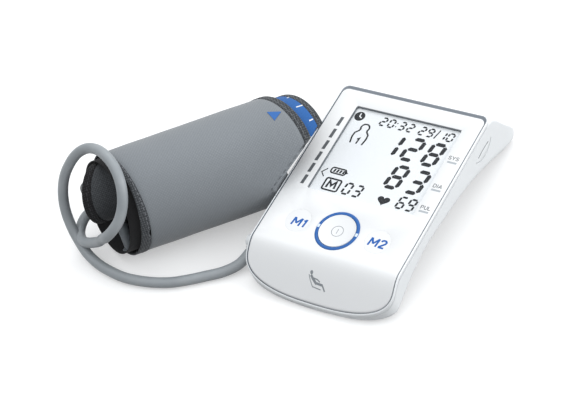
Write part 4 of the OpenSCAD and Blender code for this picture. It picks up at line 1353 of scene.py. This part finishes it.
finish_mesh("wire_ring", mesh_of(v_, f_), "ring_steel", "cuff", ["cinch_ring"], 60)

# elbow fitting and ribbed collar
cf, sf = math.cos(FIT_A), math.sin(FIT_A)


def fit_pt(r, add_w=0.0):
    return RF(FIT_S, r * cf + add_w, r * sf)


ep = [fit_pt(28.0), fit_pt(25.5), fit_pt(22.5), fit_pt(20)]
c0 = fit_pt(19.0)
c1 = fit_pt(16.0)
c2 = fit_pt(16.0, 2.6)
for k in range(0, 9):
    t = k / 9
    ep.append(c0 * (1 - t) ** 2 + c1 * 2 * t * (1 - t) + c2 * t * t)
ep += [c2, fit_pt(16, 3.6), fit_pt(16, 5.35)]
tube("fitting_elbow", ep, 3.3, "grey_plastic", "cuff", segs=32, rep=["hose_fitting"], rfun=lambda t: 2.9 + 0.4 * min(1.0, t * 1.6))
out_dir = (RF(0, cf, sf) - RF(0, 0, 0)).normalized()
lathe("fitting_flange", fit_pt(27.4), out_dir, [(0, 0.0), (4.1, 0.0), (4.4, 0.25), (4.4, 0.8), (0, 0.8)], "grey_plastic", "cuff")
wdir = Vector((-SY, CY, 0))
col_prof = [(3.36, 0.0), (3.8, 0.0)]
for k in range(4):
    h = 0.1 + 0.7 * k
    col_prof += [(3.9, h), (4.2, h + 0.15), (4.2, h + 0.42), (3.9, h + 0.57)]
col_prof += [(3.8, 2.9), (3.36, 2.9)]
lathe("collar_ribs", fit_pt(16, 2.4), wdir, col_prof, "sleeve_rubber", "cuff", rep=["hose_sleeve"], closed=True)

# ---------------------------------------------------------------- table, light
floor_mat = Nodes("table_white", (0.66, 0.665, 0.67), 0.6, spec=0.2)
floor_mat.b.inputs["Emission Color"].default_value = (1, 1, 1, 1)
floor_mat.b.inputs["Emission Strength"].default_value = 0.37
fv = []
NX = 24
for i in range(NX + 1):
    for j in range(NX + 1):
        fv.append(((i / NX - 0.5) * 6.0, (j / NX - 0.5) * 6.0, -0.0002))
ff = [(i * (NX + 1) + j, (i + 1) * (NX + 1) + j, (i + 1) * (NX + 1) + j + 1, i * (NX + 1) + j + 1) for i in range(NX) for j in range(NX)]
fme = mesh_of(fv, ff, "table")
fme.materials.append(floor_mat.mat)
floor = bpy.data.objects.new("table", fme)
scene.collection.objects.link(floor)

floor.visible_diffuse = False        # a soft overhead studio: little light comes back from the table

world = bpy.data.worlds.new("world")
world.use_nodes = True
wt = world.node_tree
bg = wt.nodes["Background"]
tc = wt.nodes.new("ShaderNodeTexCoord")
sp = wt.nodes.new("ShaderNodeSeparateXYZ")
mr = wt.nodes.new("ShaderNodeMapRange")
mr.inputs["From Min"].default_value = -1.0
sky = wt.nodes.new("ShaderNodeValToRGB")
SKY_TOP, SKY_LOW, SKY_UNDER = 1.58, 0.52, 0.17
stops = [(0.0, SKY_UNDER), (0.495, SKY_UNDER), (0.505, SKY_LOW)] + [(0.5 + z / 2, SKY_LOW + (SKY_TOP - SKY_LOW) * z * z) for z in (0.25, 0.5, 0.75, 1.0)]
el = sky.color_ramp.elements
el[0].position, el[1].position = stops[0][0], stops[-1][0]
for k, (pos, val) in enumerate(stops):
    e = el[0] if k == 0 else (el[-1] if k == len(stops) - 1 else el.new(pos))
    c = val / SKY_TOP
    e.color = (c * 0.975, c * 0.99, c, 1)
wt.links.new(tc.outputs["Generated"], sp.inputs["Vector"])
wt.links.new(sp.outputs["Z"], mr.inputs["Value"])
wt.links.new(mr.outputs["Result"], sky.inputs["Fac"])
wt.links.new(sky.outputs["Color"], bg.inputs["Color"])
bg.inputs["Strength"].default_value = SKY_TOP
scene.world = world
scene.view_settings.view_transform = "Standard"


def area(name, loc, target, size, power, color=(1, 1, 1)):
    l = bpy.data.lights.new(name, "AREA")
    l.shape = "DISK"
    l.size = size
    l.energy = power
    l.color = color
    o = bpy.data.objects.new(name, l)
    o.location = loc
    d = Vector(target) - Vector(loc)
    o.rotation_euler = d.to_track_quat("-Z", "Y").to_euler()
    scene.collection.objects.link(o)
    return o


area("key", (-0.35, 0.95, 1.15), (0.05, -0.02, 0.02), 0.8, 4.5)
area("side", (1.2, 0.35, 0.5), (0.06, 0.0, 0.03), 1.0, 9.5)
